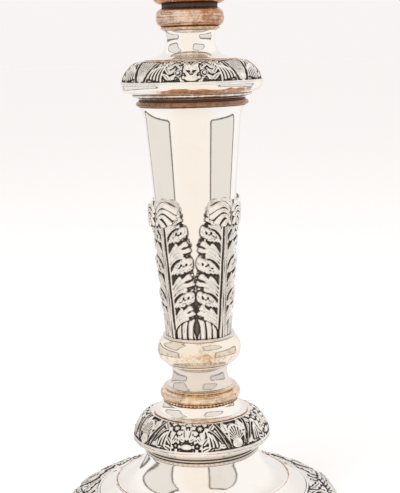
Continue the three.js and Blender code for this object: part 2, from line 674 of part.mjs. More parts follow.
// ---- nozzle: a cup for the candle, its drip pan and the pan's border, lifting out as one
const nozzle = new THREE.Group();
candlestick.add(nozzle);
const zPanTop = zPan + PAN_T;
const zNozzleTop = zPanTop + NOZZLE_WALL;
addTurned("nozzle_tube", [
  [0, zNozzle],
  [nozzleR, zNozzle],
  [nozzleR, zPanTop],
  [nozzleR + NOZZLE_LIP, zPanTop],
  [nozzleR + NOZZLE_LIP, zNozzleTop],
  [CANDLE_R, zNozzleTop],
  [CANDLE_R, zNozzle + NOZZLE_WALL],
  [0, zNozzle + NOZZLE_WALL],
], "silver", SPIN_STEPS, nozzle);
const panR = nozzleR + PAN_OUT;
const panFlatR = Math.min(socketRimR, panR - NOZZLE_BORDER_W - 1);
const borderFootR = panR - NOZZLE_BORDER_W + 2;
addTurned("nozzle_pan", [
  [nozzleR + SEAM, zPan],
  [panFlatR, zPan],
  [borderFootR, zPan + 0.2, borderFootR + 0.5, zPan + PAN_DISH],
  [panR - 0.5, zPan + PAN_DISH],
  [panR - 0.5, zPanTop + PAN_DISH],
  [borderFootR - 0.6, zPanTop + PAN_DISH],
  [borderFootR - 1.4, zPanTop + 0.2, panFlatR, zPanTop],
  [nozzleR + SEAM, zPanTop],
], "silver", SPIN_STEPS, nozzle);
const zBorder = zPanTop + PAN_DISH;
addTurned("nozzle_border", [
  [panR - NOZZLE_BORDER_W + 1.6, zBorder],
  [panR - 0.2, zBorder],
  [panR + 1.2, zBorder + 0.3 * NOZZLE_BORDER_H, panR, zBorder + 0.55 * NOZZLE_BORDER_H],
  [
    panR - 1.4, zBorder + 1.25 * NOZZLE_BORDER_H,
    panR - NOZZLE_BORDER_W + 3, zBorder + NOZZLE_BORDER_H,
    panR - NOZZLE_BORDER_W + 1.6, zBorder + 0.3 * NOZZLE_BORDER_H,
  ],
], "chased_silver", SPIN_STEPS, nozzle);

export default candlestick;
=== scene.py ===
"""A worn silver-plated candlestick on a pale floor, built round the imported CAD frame."""

import math

import bpy
import numpy as np
from mathutils import Matrix, Vector


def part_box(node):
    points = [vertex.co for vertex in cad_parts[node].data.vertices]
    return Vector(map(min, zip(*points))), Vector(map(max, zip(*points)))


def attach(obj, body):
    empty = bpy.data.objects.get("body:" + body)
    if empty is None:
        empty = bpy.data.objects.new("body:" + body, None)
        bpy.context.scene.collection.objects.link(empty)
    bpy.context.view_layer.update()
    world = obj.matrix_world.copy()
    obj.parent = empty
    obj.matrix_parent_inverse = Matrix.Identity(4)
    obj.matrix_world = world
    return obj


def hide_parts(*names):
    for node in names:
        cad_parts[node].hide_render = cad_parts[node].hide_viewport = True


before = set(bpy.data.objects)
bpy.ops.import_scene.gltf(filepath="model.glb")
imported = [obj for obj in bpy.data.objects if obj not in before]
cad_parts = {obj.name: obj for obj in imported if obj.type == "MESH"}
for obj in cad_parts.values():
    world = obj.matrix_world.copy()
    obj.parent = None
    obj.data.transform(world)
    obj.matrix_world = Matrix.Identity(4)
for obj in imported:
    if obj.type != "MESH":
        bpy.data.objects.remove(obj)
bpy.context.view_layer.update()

MM = 0.001

# ---- view: a long lens a little above the column's middle, tipped down, slightly rolled
LENS_MM = 84.0
CAMERA_X, CAMERA_Y, CAMERA_Z = 0.0019, -0.59, 0.25
CAMERA_PITCH = math.radians(9.6)
CAMERA_ROLL = -0.0279

# ---- meshes, in millimetres
STEP = 0.12  # spacing of an outline's points before thinning
EDGE_ROUND = 0.14  # softness of a turned edge
THIN_TOLERANCE = 0.006
LONGEST_STRETCH = 1.2
SPIN_LARGE, SPIN_SMALL = 192, 128
AXIS_GAP = 0.02  # radius at which a solid's ends are closed by flat quads
SEAM_REACH = 0.35  # how far from a piece's ends the dirt of its joints lies
SEAM_DIRT, HOLLOW_DIRT = 0.4, 0.8
HOLLOW_BEND, EDGE_BEND = 2.5, 2.2  # bends, in radians per millimetre, that get full dirt or wear

rng = np.random.default_rng(7)


# ---------------------------------------------------------------- outlines
def span(node):
    """A CAD node's lowest and highest height, and its greatest radius."""
    low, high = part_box(node)
    return low.z / MM, high.z / MM, max(high.x, high.y) / MM


def traced(entries, steps=40):
    """Points along an outline: a pair is a corner, four or six numbers are a curve to the last two."""
    points = [np.array(entries[0], float)]
    for e in entries[1:]:
        pulls = np.array(e, float).reshape(-1, 2)
        start = points[-1]
        if len(pulls) == 1:
            points.append(pulls[0])
            continue
        t = np.linspace(0, 1, steps + 1)[1:, None]
        if len(pulls) == 2:
            curve = (1 - t) ** 2 * start + 2 * t * (1 - t) * pulls[0] + t**2 * pulls[1]
        else:
            curve = ((1 - t) ** 3 * start + 3 * t * (1 - t) ** 2 * pulls[0]
                     + 3 * t**2 * (1 - t) * pulls[1] + t**3 * pulls[2])
        points.extend(curve)
    return np.array(points)


def evenly(points, step, closed):
    """The same line with points at an even spacing."""
    line = np.vstack([points, points[:1]]) if closed else points
    run = np.concatenate([[0], np.cumsum(np.hypot(*np.diff(line, axis=0).T))])
    count = max(int(round(run[-1] / step)), 8)
    at = np.linspace(0, run[-1], count + 1)
    if closed:
        at = at[:-1]
    return np.column_stack([np.interp(at, run, line[:, 0]), np.interp(at, run, line[:, 1])])


def bell(sigma, reach):
    """The weights of a Gaussian blur."""
    weights = np.exp(-0.5 * (np.arange(-reach, reach + 1) / sigma) ** 2)
    return weights / weights.sum()


def smoothed(values, sigma, closed):
    """Gaussian smoothing along a line of evenly spaced points."""
    reach = max(int(3 * sigma), 1)
    padded = np.pad(values, ((reach, reach), (0, 0)), mode="wrap" if closed else "edge")
    return np.column_stack([np.convolve(column, bell(sigma, reach), "valid") for column in padded.T])


def thinned(points, tolerance, longest, closed):
    """Indices of the points that the line's shape needs."""
    keep = [0]
    i, n = 0, len(points)
    last = n if closed else n - 1
    while i < last:
        j = i + 1
        while j < last:
            k = j + 1
            a, b = points[i], points[k % n]
            chord = b - a
            length = np.hypot(*chord)
            if length > longest:
                break
            inner = points[i + 1:k] - a
            off = np.abs(inner[:, 0] * chord[1] - inner[:, 1] * chord[0]) / max(length, 1e-9)
            if off.max() > tolerance:
                break
            j = k
        keep.append(j)
        i = j
    if keep[-1] >= n:
        keep.pop()
    return np.array(keep)


def side_normals(points, closed):
    """The direction out of each point of an outline that runs anticlockwise in radius and height."""
    if closed:
        along = np.roll(points, -1, 0) - np.roll(points, 1, 0)
    else:
        along = np.gradient(points, axis=0)
    along /= np.maximum(np.hypot(*along.T), 1e-9)[:, None]
    return np.column_stack([along[:, 1], -along[:, 0]])


def bend(points, closed):
    """How sharply an outline turns, in radians per millimetre, positive where it stands out."""
    before = points - np.roll(points, 1, 0)
    after = np.roll(points, -1, 0) - points
    across = before[:, 0] * after[:, 1] - before[:, 1] * after[:, 0]
    turn = np.arctan2(across, (before * after).sum(1))
    turn /= np.maximum(np.hypot(*after.T), 1e-9)
    if not closed:
        turn[[0, -1]] = 0
    return turn


# ---------------------------------------------------------------- meshes
def mesh_object(name, vertices, faces, layers, normals, uv):
    """A smooth mesh of quads, with values on its points and a sheet of texture coordinates."""
    mesh = bpy.data.meshes.new(name)
    mesh.from_pydata(vertices.tolist(), [], faces.tolist())
    mesh.polygons.foreach_set("use_smooth", [True] * len(mesh.polygons))
    for key, values in layers.items():
        layer = mesh.attributes.new(key, "FLOAT", "POINT")
        layer.data.foreach_set("value", np.asarray(values, np.float32))
    corner = np.empty(len(mesh.loops), np.int32)
    mesh.loops.foreach_get("vertex_index", corner)
    place = np.asarray(uv, np.float32)[corner].reshape(-1, 4, 2)
    whole = place[..., 0].max()
    across_seam = np.ptp(place[..., 0], axis=1) > 0.5 * whole
    place[across_seam, :, 0] += whole * (place[across_seam, :, 0] < 0.5 * whole)
    mesh.uv_layers.new(name="Sheet").data.foreach_set("uv", place.ravel())
    mesh.update()
    if normals is not None:
        mesh.normals_split_custom_set_from_vertices(normals.tolist())
    obj = bpy.data.objects.new(name, mesh)
    bpy.context.scene.collection.objects.link(obj)
    return obj


def ring_faces(rows, columns, closed_rows):
    """Quads of a grid that closes round its columns, and round its rows too if asked."""
    i = np.arange(rows if closed_rows else rows - 1)[:, None]
    j = np.arange(columns)[None, :]
    a = i * columns + j
    b = i * columns + (j + 1) % columns
    up = (i + 1) % rows
    c = up * columns + (j + 1) % columns
    d = up * columns + j
    return np.stack([a, b, c, d], -1).reshape(-1, 4)


def end_faces(first, columns, upward):
    """Quads that fill the small ring at one end of a grid."""
    k = np.arange(columns // 2 - 1)
    strip = first + np.stack([k, k + 1, columns - 2 - k, columns - 1 - k], -1)
    return strip if upward else strip[:, ::-1]


def turned(name, entries, material, body="candlestick", spin=SPIN_LARGE, longest=LONGEST_STRETCH,
           solid=False, pattern=None, grime=1.0, grime_field=None, bleed=1.0, bleed_field=None):
    """A piece turned about the axis, its edges softened, standing for a CAD node of the same name.

    pattern and the fields of darkening and of bleed are given angle, height and radius, and add to the
    surface, to its dirt and painted shade, and to its worn-through copper. A solid's outline has both ends
    on the axis.
    """
    points = traced(entries)
    ahead = np.roll(points, -1, 0)
    if np.sum(points[:, 0] * ahead[:, 1] - ahead[:, 0] * points[:, 1]) < 0:
        points = points[::-1]
    if solid:
        start = int(np.argmin(np.abs(points[:, 0]) * 1e3 + np.abs(points[:, 1] - points[:, 1].min())))
        points = np.roll(points, -start, 0)
    line = evenly(points, STEP, closed=not solid)
    soft = smoothed(line, EDGE_ROUND / STEP, closed=not solid)
    if solid:
        soft[[0, -1]] = line[[0, -1]]
        soft[:, 0] = np.maximum(soft[:, 0], AXIS_GAP)
    outward = side_normals(soft, not solid)
    curve = smoothed(bend(soft, not solid)[:, None], 1.5, not solid)[:, 0]
    keep = thinned(soft, THIN_TOLERANCE, longest, not solid)
    rows, normal, sharp = soft[keep], outward[keep], curve[keep]
    angle = np.arange(spin)[None, :] * 2 * math.pi / spin
    cos, sin = np.cos(angle), np.sin(angle)
    place = angle, rows[:, 1:], rows[:, :1]
    shift = pattern(*place) if pattern else 0
    radius = rows[:, :1] + shift * normal[:, :1] + 0 * angle
    height = rows[:, 1:] + shift * normal[:, 1:] + 0 * angle
    vertices = np.stack([radius * cos, radius * sin, height], -1).reshape(-1, 3) * MM
    normals = np.stack([normal[:, :1] * cos, normal[:, :1] * sin, normal[:, 1:] + 0 * angle], -1)
    up, down = rows[:, 1] - rows[:, 1].min(), rows[:, 1].max() - rows[:, 1]
    seam = np.exp(-up / SEAM_REACH) + np.exp(-down / SEAM_REACH)
    hollow = np.clip(-sharp / HOLLOW_BEND, 0, 1)
    oxide_and_shade = np.clip(grime * (SEAM_DIRT * seam + HOLLOW_DIRT * hollow), 0, 1)[:, None] + 0 * angle
    edge = np.clip(bleed * sharp / EDGE_BEND, 0, 1)[:, None] + 0 * angle
    if bleed_field:
        edge = np.clip(edge + bleed_field(*place), 0, 1)
    if grime_field:
        oxide_and_shade = np.clip(oxide_and_shade + grime_field(*place), 0, 1)
    run = np.concatenate([[0], np.cumsum(np.hypot(*np.diff(rows, axis=0).T))])[:, None]
    uv = np.stack([angle * rows[:, 0].max() + 0 * run, run + 0 * angle], -1).reshape(-1, 2)
    faces = ring_faces(len(rows), spin, closed_rows=not solid)
    if solid:
        last = (len(rows) - 1) * spin
        faces = np.vstack([faces, end_faces(0, spin, False), end_faces(last, spin, True)])
    layers = {"oxide_and_shade": oxide_and_shade.ravel(), "bleed": edge.ravel()}
    obj = mesh_object(name, vertices, faces, layers, None if pattern else normals.reshape(-1, 3), uv)
    return finished(obj, material, body, name)


def ring(name, depth, outline, material, **finish):
    """A turned ring, its outline given from its foot to its head.

    Each pair is a distance in from the piece's outside and a share of its height, or if that
    is negative, millimetres below its top. Its bore lies depth in from its outside.
    """
    low, high, r = span(name)
    entries = []
    for entry in [(depth, 0), *outline, (depth, 1)]:
        heights = [high + v if v < 0 else low + v * (high - low) for v in entry[1::2]]
        entries.append([v for inset, z in zip(entry[::2], heights) for v in (r - inset, z)])
    return turned(name, entries, material, **finish)


def finished(obj, material, body, node):
    """Gives a piece its material, ties it to its body and hides the CAD node it stands for."""
    slot, surface = MATERIALS[material]
    obj.data.materials.append(surface)
    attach(obj, body)
    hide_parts(node)
    return obj


# ---------------------------------------------------------------- materials
SILVER = (0.915, 0.895, 0.865)
WARM_SILVER = (0.86, 0.76, 0.63)
COPPER = (0.63, 0.31, 0.16)
GOLD_COPPER = (0.9, 0.6, 0.34)
BROWN_COPPER = (0.42, 0.21, 0.12)
# the dark of tarnish and pits, and also the colour that paints shade into hollows and onto slopes
OXIDE_AND_SHADE = (0.098, 0.078, 0.07)
CLOUD_MM, MOTTLE_MM, GRAIN_MM = 22, 3.2, 0.55  # sizes of the plate's clouds, blotches and pits
LATHE_LINES = (0.035, 3.2, 1)  # how the turning marks are drawn out round the piece
RUBBING = (0.25, 1.6, 1)


class Nodes:
    """A node tree, with short names for the nodes used here."""

    def __init__(self, tree):
        self.tree = tree
        tree.nodes.clear()

    def node(self, kind, **settings):
        made = self.tree.nodes.new(kind)
        for key, value in settings.items():
            setattr(made, key, value)
        return made

    def link(self, source, target):
        if hasattr(source, "is_output"):
            self.tree.links.new(source, target)
        else:
            target.default_value = source

    def maths(self, operation, a, b=0.0, c=0.0, clamp=False):
        made = self.node("ShaderNodeMath", operation=operation, use_clamp=clamp)
        for socket, value in zip(made.inputs, (a, b, c)):
            self.link(value, socket)
        return made.outputs[0]

    def between(self, value, low, high, to_low=0.0, to_high=1.0):
        made = self.node("ShaderNodeMapRange", interpolation_type="SMOOTHSTEP")
        for key, v in zip(("Value", "From Min", "From Max", "To Min", "To Max"),
                          (value, low, high, to_low, to_high)):
            self.link(v, made.inputs[key])
        return made.outputs[0]

    def mix(self, share, a, b):
        made = self.node("ShaderNodeMix", data_type="RGBA")
        self.link(share, made.inputs["Factor"])
        for colour, socket in ((a, made.inputs[6]), (b, made.inputs[7])):
            self.link(colour if hasattr(colour, "is_output") else (*colour, 1.0), socket)
        return made.outputs[2]


class Surface(Nodes):
    """The node tree of a material, round its one shader."""

    def __init__(self, name):
        self.material = bpy.data.materials.new(name)
        self.material.use_nodes = True
        super().__init__(self.material.node_tree)
        output = self.node("ShaderNodeOutputMaterial")
        self.shader = self.node("ShaderNodeBsdfPrincipled")
        self.link(self.shader.outputs[0], output.inputs["Surface"])
        self.place = self.node("ShaderNodeTexCoord").outputs["Object"]

    def set(self, **values):
        """Links or sets the shader's inputs; an underscore stands for a space."""
        for key, value in values.items():
            self.link(value, self.shader.inputs[key.replace("_", " ")])

    def stretched(self, source, scale, turn=(0, 0, 0)):
        made = self.node("ShaderNodeMapping")
        self.link(source, made.inputs["Vector"])
        made.inputs["Scale"].default_value = scale
        made.inputs["Rotation"].default_value = turn
        return made.outputs[0]

    def noise(self, size_mm, detail=3.0, rough=0.55, where=None, warp=0.0):
        """Noise over the object's millimetres, or over other coordinates if where is given."""
        made = self.node("ShaderNodeTexNoise")
        self.link(where or self.place, made.inputs["Vector"])
        made.inputs["Scale"].default_value = 1.0 / size_mm if where else 1.0 / (size_mm * MM)
        made.inputs["Detail"].default_value = detail
        made.inputs["Roughness"].default_value = rough
        made.inputs["Distortion"].default_value = warp
        return made.outputs["Fac"]

    def attribute(self, name):
        return self.node("ShaderNodeAttribute", attribute_name=name).outputs["Fac"]

    def bump(self, height, depth_mm):
        made = self.node("ShaderNodeBump")
        made.inputs["Strength"].default_value = 1.0
        made.inputs["Distance"].default_value = depth_mm * MM
        self.link(height, made.inputs["Height"])
        self.set(Normal=made.outputs[0])


def plated(name, worn=0.0, under=COPPER, top=SILVER, polish=0.13, tarnish=0.5, waves=1.0, dirt_and_shade=1.0,
           haze=0.1, brushed=0.02, blotch=0.9, streak=0.24):
    """Old silver plate: clouded, scratched and pitted, its copper showing where it has worn.

    worn is how much of the face has lost its silver; blotch and streak are how unevenly. The
    mesh's own bleed values add wear on edges; its darkening values add tarnish and dirt in corners,
    and on the carvings, leaves and column also painted shade in hollows, on slopes and beside the leaves.
    """
    s = Surface(name)
    uv = s.node("ShaderNodeUVMap", uv_map="Sheet").outputs[0]
    cloud = s.noise(CLOUD_MM, 4, 0.6, warp=0.6)
    mottle = s.noise(MOTTLE_MM, 5, 0.62, warp=0.8)
    grain = s.noise(GRAIN_MM, 3, 0.6)
    rings = s.noise(1.0, 3, 0.55, where=s.stretched(uv, LATHE_LINES))
    strokes = s.noise(1.0, 2, 0.5, where=s.stretched(uv, RUBBING, (0, 0, 0.6)))

    colour = s.mix(s.between(cloud, 0.42, 0.75, 0.0, tarnish), top, WARM_SILVER)
    wear = s.maths("ADD", s.attribute("bleed"), worn)
    for pattern, amount in ((mottle, blotch), (cloud, 0.7), (rings, streak)):
        wear = s.maths("ADD", wear, s.maths("MULTIPLY_ADD", pattern, amount, -0.5 * amount))
    share = s.between(wear, 0.36, 0.74)
    copper = s.mix(s.between(mottle, 0.35, 0.65), under, tuple(0.62 * c for c in under))
    colour = s.mix(share, colour, copper)
    colour = s.mix(s.between(grain, 0.7, 0.8, 0.0, 0.3), colour, OXIDE_AND_SHADE)
    # the mesh's darkening values: tarnish and dirt in joints and hollows, and on the carvings, leaves and
    # column also painted shade
    dark = s.maths("SUBTRACT", s.maths("MULTIPLY", s.attribute("oxide_and_shade"), dirt_and_shade), 0.12)
    dark = s.between(s.maths("MULTIPLY_ADD", grain, 0.25, dark), 0.12, 0.72)
    rough = s.between(mottle, 0.3, 0.75, polish, polish + haze)
    rough = s.maths("ADD", rough, s.between(rings, 0.5, 0.78, 0.0, haze))
    rough = s.maths("ADD", rough, s.maths("MULTIPLY", share, 0.1))
    rough = s.maths("ADD", rough, s.maths("MULTIPLY", dark, 0.35), clamp=True)
    s.set(Base_Color=s.mix(dark, colour, OXIDE_AND_SHADE), Metallic=1.0, Roughness=rough)
    relief = s.maths("MULTIPLY", s.noise(26, 1.0, 0.4), 0.9 * waves)
    for pattern, amount in ((rings, brushed), (strokes, 0.02), (grain, -0.012)):
        relief = s.maths("MULTIPLY_ADD", pattern, amount, relief)
    s.bump(relief, 0.35)
    return s.material


def black_iron():
    s = Surface("black_iron")
    scale = s.noise(1.6, 5, 0.65)
    rust = s.between(s.noise(7, 4, 0.6, warp=1.0), 0.52, 0.72)
    colour = s.mix(s.between(scale, 0.3, 0.7), (0.045, 0.042, 0.04), (0.11, 0.1, 0.095))
    s.set(Base_Color=s.mix(rust, colour, (0.13, 0.055, 0.025)), Metallic=s.between(rust, 0, 1, 0.75, 0.05),
          Roughness=s.between(scale, 0.3, 0.7, 0.42, 0.7))
    s.bump(scale, 0.12)
    return s.material


def poured_pitch():
    s = Surface("poured_pitch")
    lump = s.noise(9, 4, 0.5, warp=0.5)
    share = s.between(lump, 0.3, 0.7)
    s.set(Base_Color=s.mix(share, (0.012, 0.009, 0.007), (0.035, 0.026, 0.02)),
          Roughness=s.between(lump, 0.3, 0.7, 0.25, 0.5))
    s.bump(lump, 0.6)
    return s.material


def wool_baize():
    s = Surface("wool_baize")
    nap = s.noise(0.5, 4, 0.75, warp=1.5)
    cloud = s.noise(14, 3, 0.5)
    weave = s.node("ShaderNodeTexWave", wave_type="BANDS", bands_direction="DIAGONAL")
    s.link(s.place, weave.inputs["Vector"])
    weave.inputs["Scale"].default_value = 300
    weave.inputs["Distortion"].default_value = 4.0
    colour = s.mix(s.between(nap, 0.3, 0.7), (0.02, 0.055, 0.03), (0.05, 0.12, 0.065))
    colour = s.mix(s.between(cloud, 0.45, 0.75, 0, 0.5), colour, (0.085, 0.105, 0.06))
    s.set(Base_Color=colour, Roughness=s.between(nap, 0.2, 0.8, 0.85, 1.0), Sheen_Weight=0.45,
          Sheen_Roughness=0.5)
    s.bump(s.maths("MULTIPLY_ADD", weave.outputs["Fac"], 0.3, nap), 0.25)
    return s.material


# each surface's slot in the record, and its material
MATERIALS = {
    "silver": ("polished_silver", plated(
        "silver_plate", worn=-0.16, polish=0.05, tarnish=0.35, haze=0.06, brushed=0.006)),
    "column": ("polished_silver", plated(
        "silver_plate_column", worn=-0.22, polish=0.035, tarnish=0.2, waves=0.35, haze=0.03,
        brushed=0.0015)),
    "warm_silver": ("polished_silver", plated(
        "silver_plate_thin", worn=0.07, under=GOLD_COPPER, tarnish=0.9, polish=0.15)),
    "dull": ("polished_silver", plated(
        "silver_plate_dull", worn=-0.02, under=GOLD_COPPER, top=(0.76, 0.71, 0.67), polish=0.09,
        tarnish=0.6)),
    "champagne": ("polished_silver", plated(
        "silver_plate_knop", worn=0.19, under=GOLD_COPPER, top=(0.9, 0.83, 0.73), polish=0.07,
        tarnish=0.9, haze=0.06)),
    "chased": ("chased_silver", plated(
        "chased_plate", worn=-0.3, polish=0.2, waves=0.2, dirt_and_shade=1.25, tarnish=0.35)),
    "milled": ("worn_copper", plated(
        "silver_plate_milled", worn=-0.04, under=GOLD_COPPER, top=(0.66, 0.61, 0.56), polish=0.13,
        tarnish=0.6)),
    "red_copper": ("worn_copper", plated(
        "bared_copper", worn=0.5, top=(0.84, 0.7, 0.6), polish=0.12, blotch=0.7, streak=1.0)),
    "gold_copper": ("worn_copper", plated(
        "bared_copper_bright", worn=0.38, under=(0.9, 0.62, 0.42), top=(0.9, 0.79, 0.67),
        polish=0.06, tarnish=0.6, haze=0.04, blotch=0.5, streak=1.3)),
    "brown_copper": ("worn_copper", plated(
        "bared_copper_dull", worn=0.3, under=BROWN_COPPER, top=WARM_SILVER, polish=0.22,
        tarnish=0.9)),
    "capital": ("worn_copper", plated(
        "silver_plate_cap", worn=-0.12, under=BROWN_COPPER, polish=0.12)),
    "iron": ("iron", black_iron()),
    "pitch": ("pitch", poured_pitch()),
    "baize": ("baize", wool_baize()),
}


# ---------------------------------------------------------------- turned pieces, bottom to top
RIM_GAP = 0.6  # between the pad and the foot's rim
BASE_BORDER_W = 16.9
DOME_WALL = 1.2
DOME_FLAT_W = 7  # flat ring at the dome's top
DOME_LINE = 0.62, 0.765  # the dome's line: share of the way out, and of the way down
CAVETTO_OVER_WIRE = 0.1
COLUMN_WALL = 1.6
COLUMN_FLARE = 2.1  # how far its head stands out past the straight cone
FOOT_RING_OUT = 3.8
CAP_BORE_IN = 2.6
COLLAR_OUT = 2.0  # the stem collar's radius past the neck's waist
LINER_WALL, LINER_PLAY = 1.0, 0.4
NOZZLE_LIP, NOZZLE_WALL = 1.4, 1.0


def tall(node):
    low, high, _ = span(node)
    return high - low


def build_foot():
    pad_low, pad_high, pad_r = span("baize_pad")

    def ruffled(a, z, r):
        cut_edge = (r > pad_r - 1) * np.clip((z - pad_low) / 0.4, 0, 1)
        return 0.12 * np.sin(61 * a + 2 * np.sin(9 * a)) * cut_edge

    turned("baize_pad", [
        (0, pad_low), (pad_r - 0.4, pad_low), (pad_r, pad_low, pad_r, 0.5 * pad_high),
        (pad_r, pad_high, pad_r - 0.4, pad_high), (0, pad_high),
    ], "baize", solid=True, pattern=ruffled, grime=0, bleed=0)
    ring("foot_rim", span("foot_rim")[2] - pad_r - RIM_GAP, [
        (1.4, 0), (-0.35, 0.2 / tall("foot_rim"), 0, 0.26), (0.1, 0.42, 1.2, 0.44), (1.3, 0.52),
        (0.5, 0.6, 0.9, 0.68), (2.4, 0.8, 2.1, 1),
    ], "warm_silver")

    low, high, foot_r = span("base_shell")
    _, edge_z, border_r = span("base_border")
    top_r = span("step_band")[2] - 1.0
    edge_r = border_r - BASE_BORDER_W - 0.3
    rise = high - edge_z
    line_r = top_r + DOME_LINE[0] * (edge_r + 0.3 - top_r)
    line_z = high - DOME_LINE[1] * rise
    outside = [
        (top_r, high),
        (top_r + 4.2, high - 0.4 * rise, top_r + 0.42 * (line_r - top_r), line_z + 0.2 * rise,
         line_r - 1.3, line_z + 0.72),
        (line_r - 0.95, line_z + 1.08, line_r - 0.45, line_z + 0.62),
        (line_r - 0.25, line_z + 0.22, line_r, line_z + 0.28),
        (line_r + 0.35, line_z + 0.62, line_r + 0.75, line_z + 0.2),
        (line_r + 0.9, line_z - 0.25, line_r + 1.2, line_z - 0.55),
        (edge_r - 3.0, edge_z + 1.0, edge_r, edge_z - 0.1),
        (edge_r, edge_z - 3.0), (foot_r, low + 7.6), (foot_r, low),
    ]
    inner_r, inner_edge = top_r - DOME_WALL, edge_r - DOME_WALL
    inside = [
        (foot_r - DOME_WALL, low), (foot_r - DOME_WALL, low + 6.8), (inner_edge, edge_z - 4.2),
        (inner_edge, edge_z - 1.3), (line_r, line_z - 1.4),
        (inner_r + 0.45 * (line_r - top_r), line_z + 0.2 * rise - 1.4,
         inner_r + 1.2, high - 0.45 * rise, inner_r, high - DOME_WALL),
        (top_r - DOME_FLAT_W, high - DOME_WALL), (top_r - DOME_FLAT_W, high),
    ]

    def worn_line(a, z, r):
        on_line = 0.85 * np.exp(-((r - line_r - 0.1) / 0.6) ** 2) * (z > line_z - 2)
        foot_of_dome = np.exp(-((r - edge_r + 0.6) / 0.8) ** 2)
        return on_line * (0.75 + 0.35 * np.sin(2 * a + 0.8)) + 0.35 * foot_of_dome

    turned("base_shell", outside + inside, "silver", bleed_field=worn_line, bleed=0.2, grime=0.35)


def wire(name, ease, material, **finish):
    """A half-round wire."""
    foot = 0.1 / tall(name)
    ring(name, 6, [(ease, 0), (0, foot, 0, 0.5), (0, -0.1, ease, 1)], material, **finish)


def build_mouldings():
    low, high, r = span("step_band")

    def milled(a, z, rad):
        band = np.exp(-((z - low - 0.17 * (high - low)) / 0.42) ** 4)
        return 0.26 * band * np.sign(np.sin(72 * a)) * np.abs(np.sin(72 * a)) ** 0.4

    ring("step_band", 6.8, [
        (1.0, 0), (0.5, 0.05), (0.35, 0.17, 0.7, 0.31), (1.3, 0.34), (1.2, 0.4),
        (0.15, 0.46, 0.35, 0.62), (0.95, 0.66), (0.85, 0.71), (-0.05, 0.8, 0.1, 0.93), (0.5, 1),
    ], "milled", pattern=milled, spin=432, bleed=0.2)
    ring("lower_rim", 9.2, [
        (5.3, 0), (4.8, 0.18, 2.6, 0.26), (1.9, 0.3), (1.8, 0.38), (0.1, 0.5, 0.1, 0.78),
        (0.15, 1, 0.9, 1),
    ], "silver", bleed=1.4)

    low, high, r = span("foot_cavetto")
    h = high - low
    wire_r = span("bead_wire")[2]
    head_r = wire_r + CAVETTO_OVER_WIRE
    turned("foot_cavetto", [
        (r - 2.4, low), (r - 0.35, low), (r + 0.1, low + 0.03 * h, r - 0.1, low + 0.09 * h),
        (r - 0.35, low + 0.15 * h, r - 0.9, low + 0.14 * h), (r - 1.15, low + 0.18 * h),
        (head_r + 0.9, low + 0.3 * h, head_r + 0.1, high), (head_r - 6, high), (head_r - 6, high - 1.2),
        (head_r - 1.8, low + 0.5 * h),
    ], "silver", bleed=0.8, grime=0.35)
    wire("bead_wire", 0.5, "milled", pattern=lambda a, z, rad: 0.26 * np.cos(58 * a) * (rad > wire_r - 1.2),
         spin=464, grime=1.5)
    ring("lower_ring", 8, [
        (1.7, 0), (1.5, 0.06), (-0.35, 0.14, -0.02, 0.52), (0.1, 0.86, 2.0, 0.95), (2.3, 1),
    ], "gold_copper", grime=0.5)
    ring("lower_flange", 6.5, [
        (0.7, 0), (0.1, 0.1, 0, 0.45), (0.1, 0.74, 0.7, 0.74), (1.1, 0.74), (1.2, 1, 1.9, 1),
    ], "dull", grime=0.5, bleed=0.8)
    waist = 3.1
    ring("lower_spool", 4.8, [
        (0, 0), (0.6, 0.05), (waist - 0.2, 0.24, waist, 0.55), (waist, -1.6, waist - 1.0, -0.5),
        (waist - 1.1, 1),
    ], "dull", spin=SPIN_SMALL, grime=0.5)

    low, high, _ = span("column_knop")
    h = high - low
    edge = 5.0

    def worn_belt(a, z, rad):
        belt = np.exp(-((z - low - 0.48 * h) / (0.26 * h)) ** 2)
        return 0.36 * belt * (0.8 + 0.2 * np.sin(3 * a + 5.2))

    ring("column_knop", 9.2, [
        (edge + 0.4, 0), (edge - 0.1, 0.1 / h, edge - 0.2, 0.05), (edge - 0.1, 0.09),
        (0.9, 0.13, 0.02, 0.5), (-0.15, 0.83, edge - 2.3, 0.965), (edge - 1.7, 1),
    ], "champagne", bleed=0.5, bleed_field=worn_belt)
    wire("column_foot_ring", 0.45, "dull", grime=0.3, bleed=0.3)


def column_radius(z):
    """The column's straight cone, which its leaves wrap."""
    low, high, head = span("column")
    foot = span("column_foot_ring")[2] - FOOT_RING_OUT
    return foot + (head - COLUMN_FLARE - foot) * (z - low) / (high - low)


def build_column():
    low, high, head = span("column")
    flare_low, pull_z = high - 8.5, high - 3.0
    foot, flare_r, pull_r = column_radius(low), column_radius(flare_low), column_radius(pull_z)

    # painted shade: the column is darkened in a band along each leaf's edge, partly tarnish there and partly
    # painted contact shadow, and darker towards its foot, up to 34 mm above it
    def beside_leaves(a, z, rad):
        s = z - low
        around = ((a - LEAF_TURN) % (math.pi / 2)) - math.pi / 4
        gap = (np.abs(around) - np.radians(leaf_half_angle(s))) * rad
        beside = np.exp(-(np.clip(gap, 0, None) / 0.55) ** 2) * (s < LOBES[-1][1])
        ground = np.clip((34 - s) / 12, 0, 1) * 0.6
        return np.clip(0.62 * beside + ground, 0, 0.75)

    turned("column", [
        (foot, low), (flare_r, flare_low), (pull_r, pull_z, head, high), (head - COLUMN_WALL, high),
        (pull_r - COLUMN_WALL, pull_z, flare_r - COLUMN_WALL, flare_low), (foot - COLUMN_WALL, low),
    ], "column", spin=320, longest=0.9, grime=0.4, bleed=0.2, grime_field=beside_leaves)


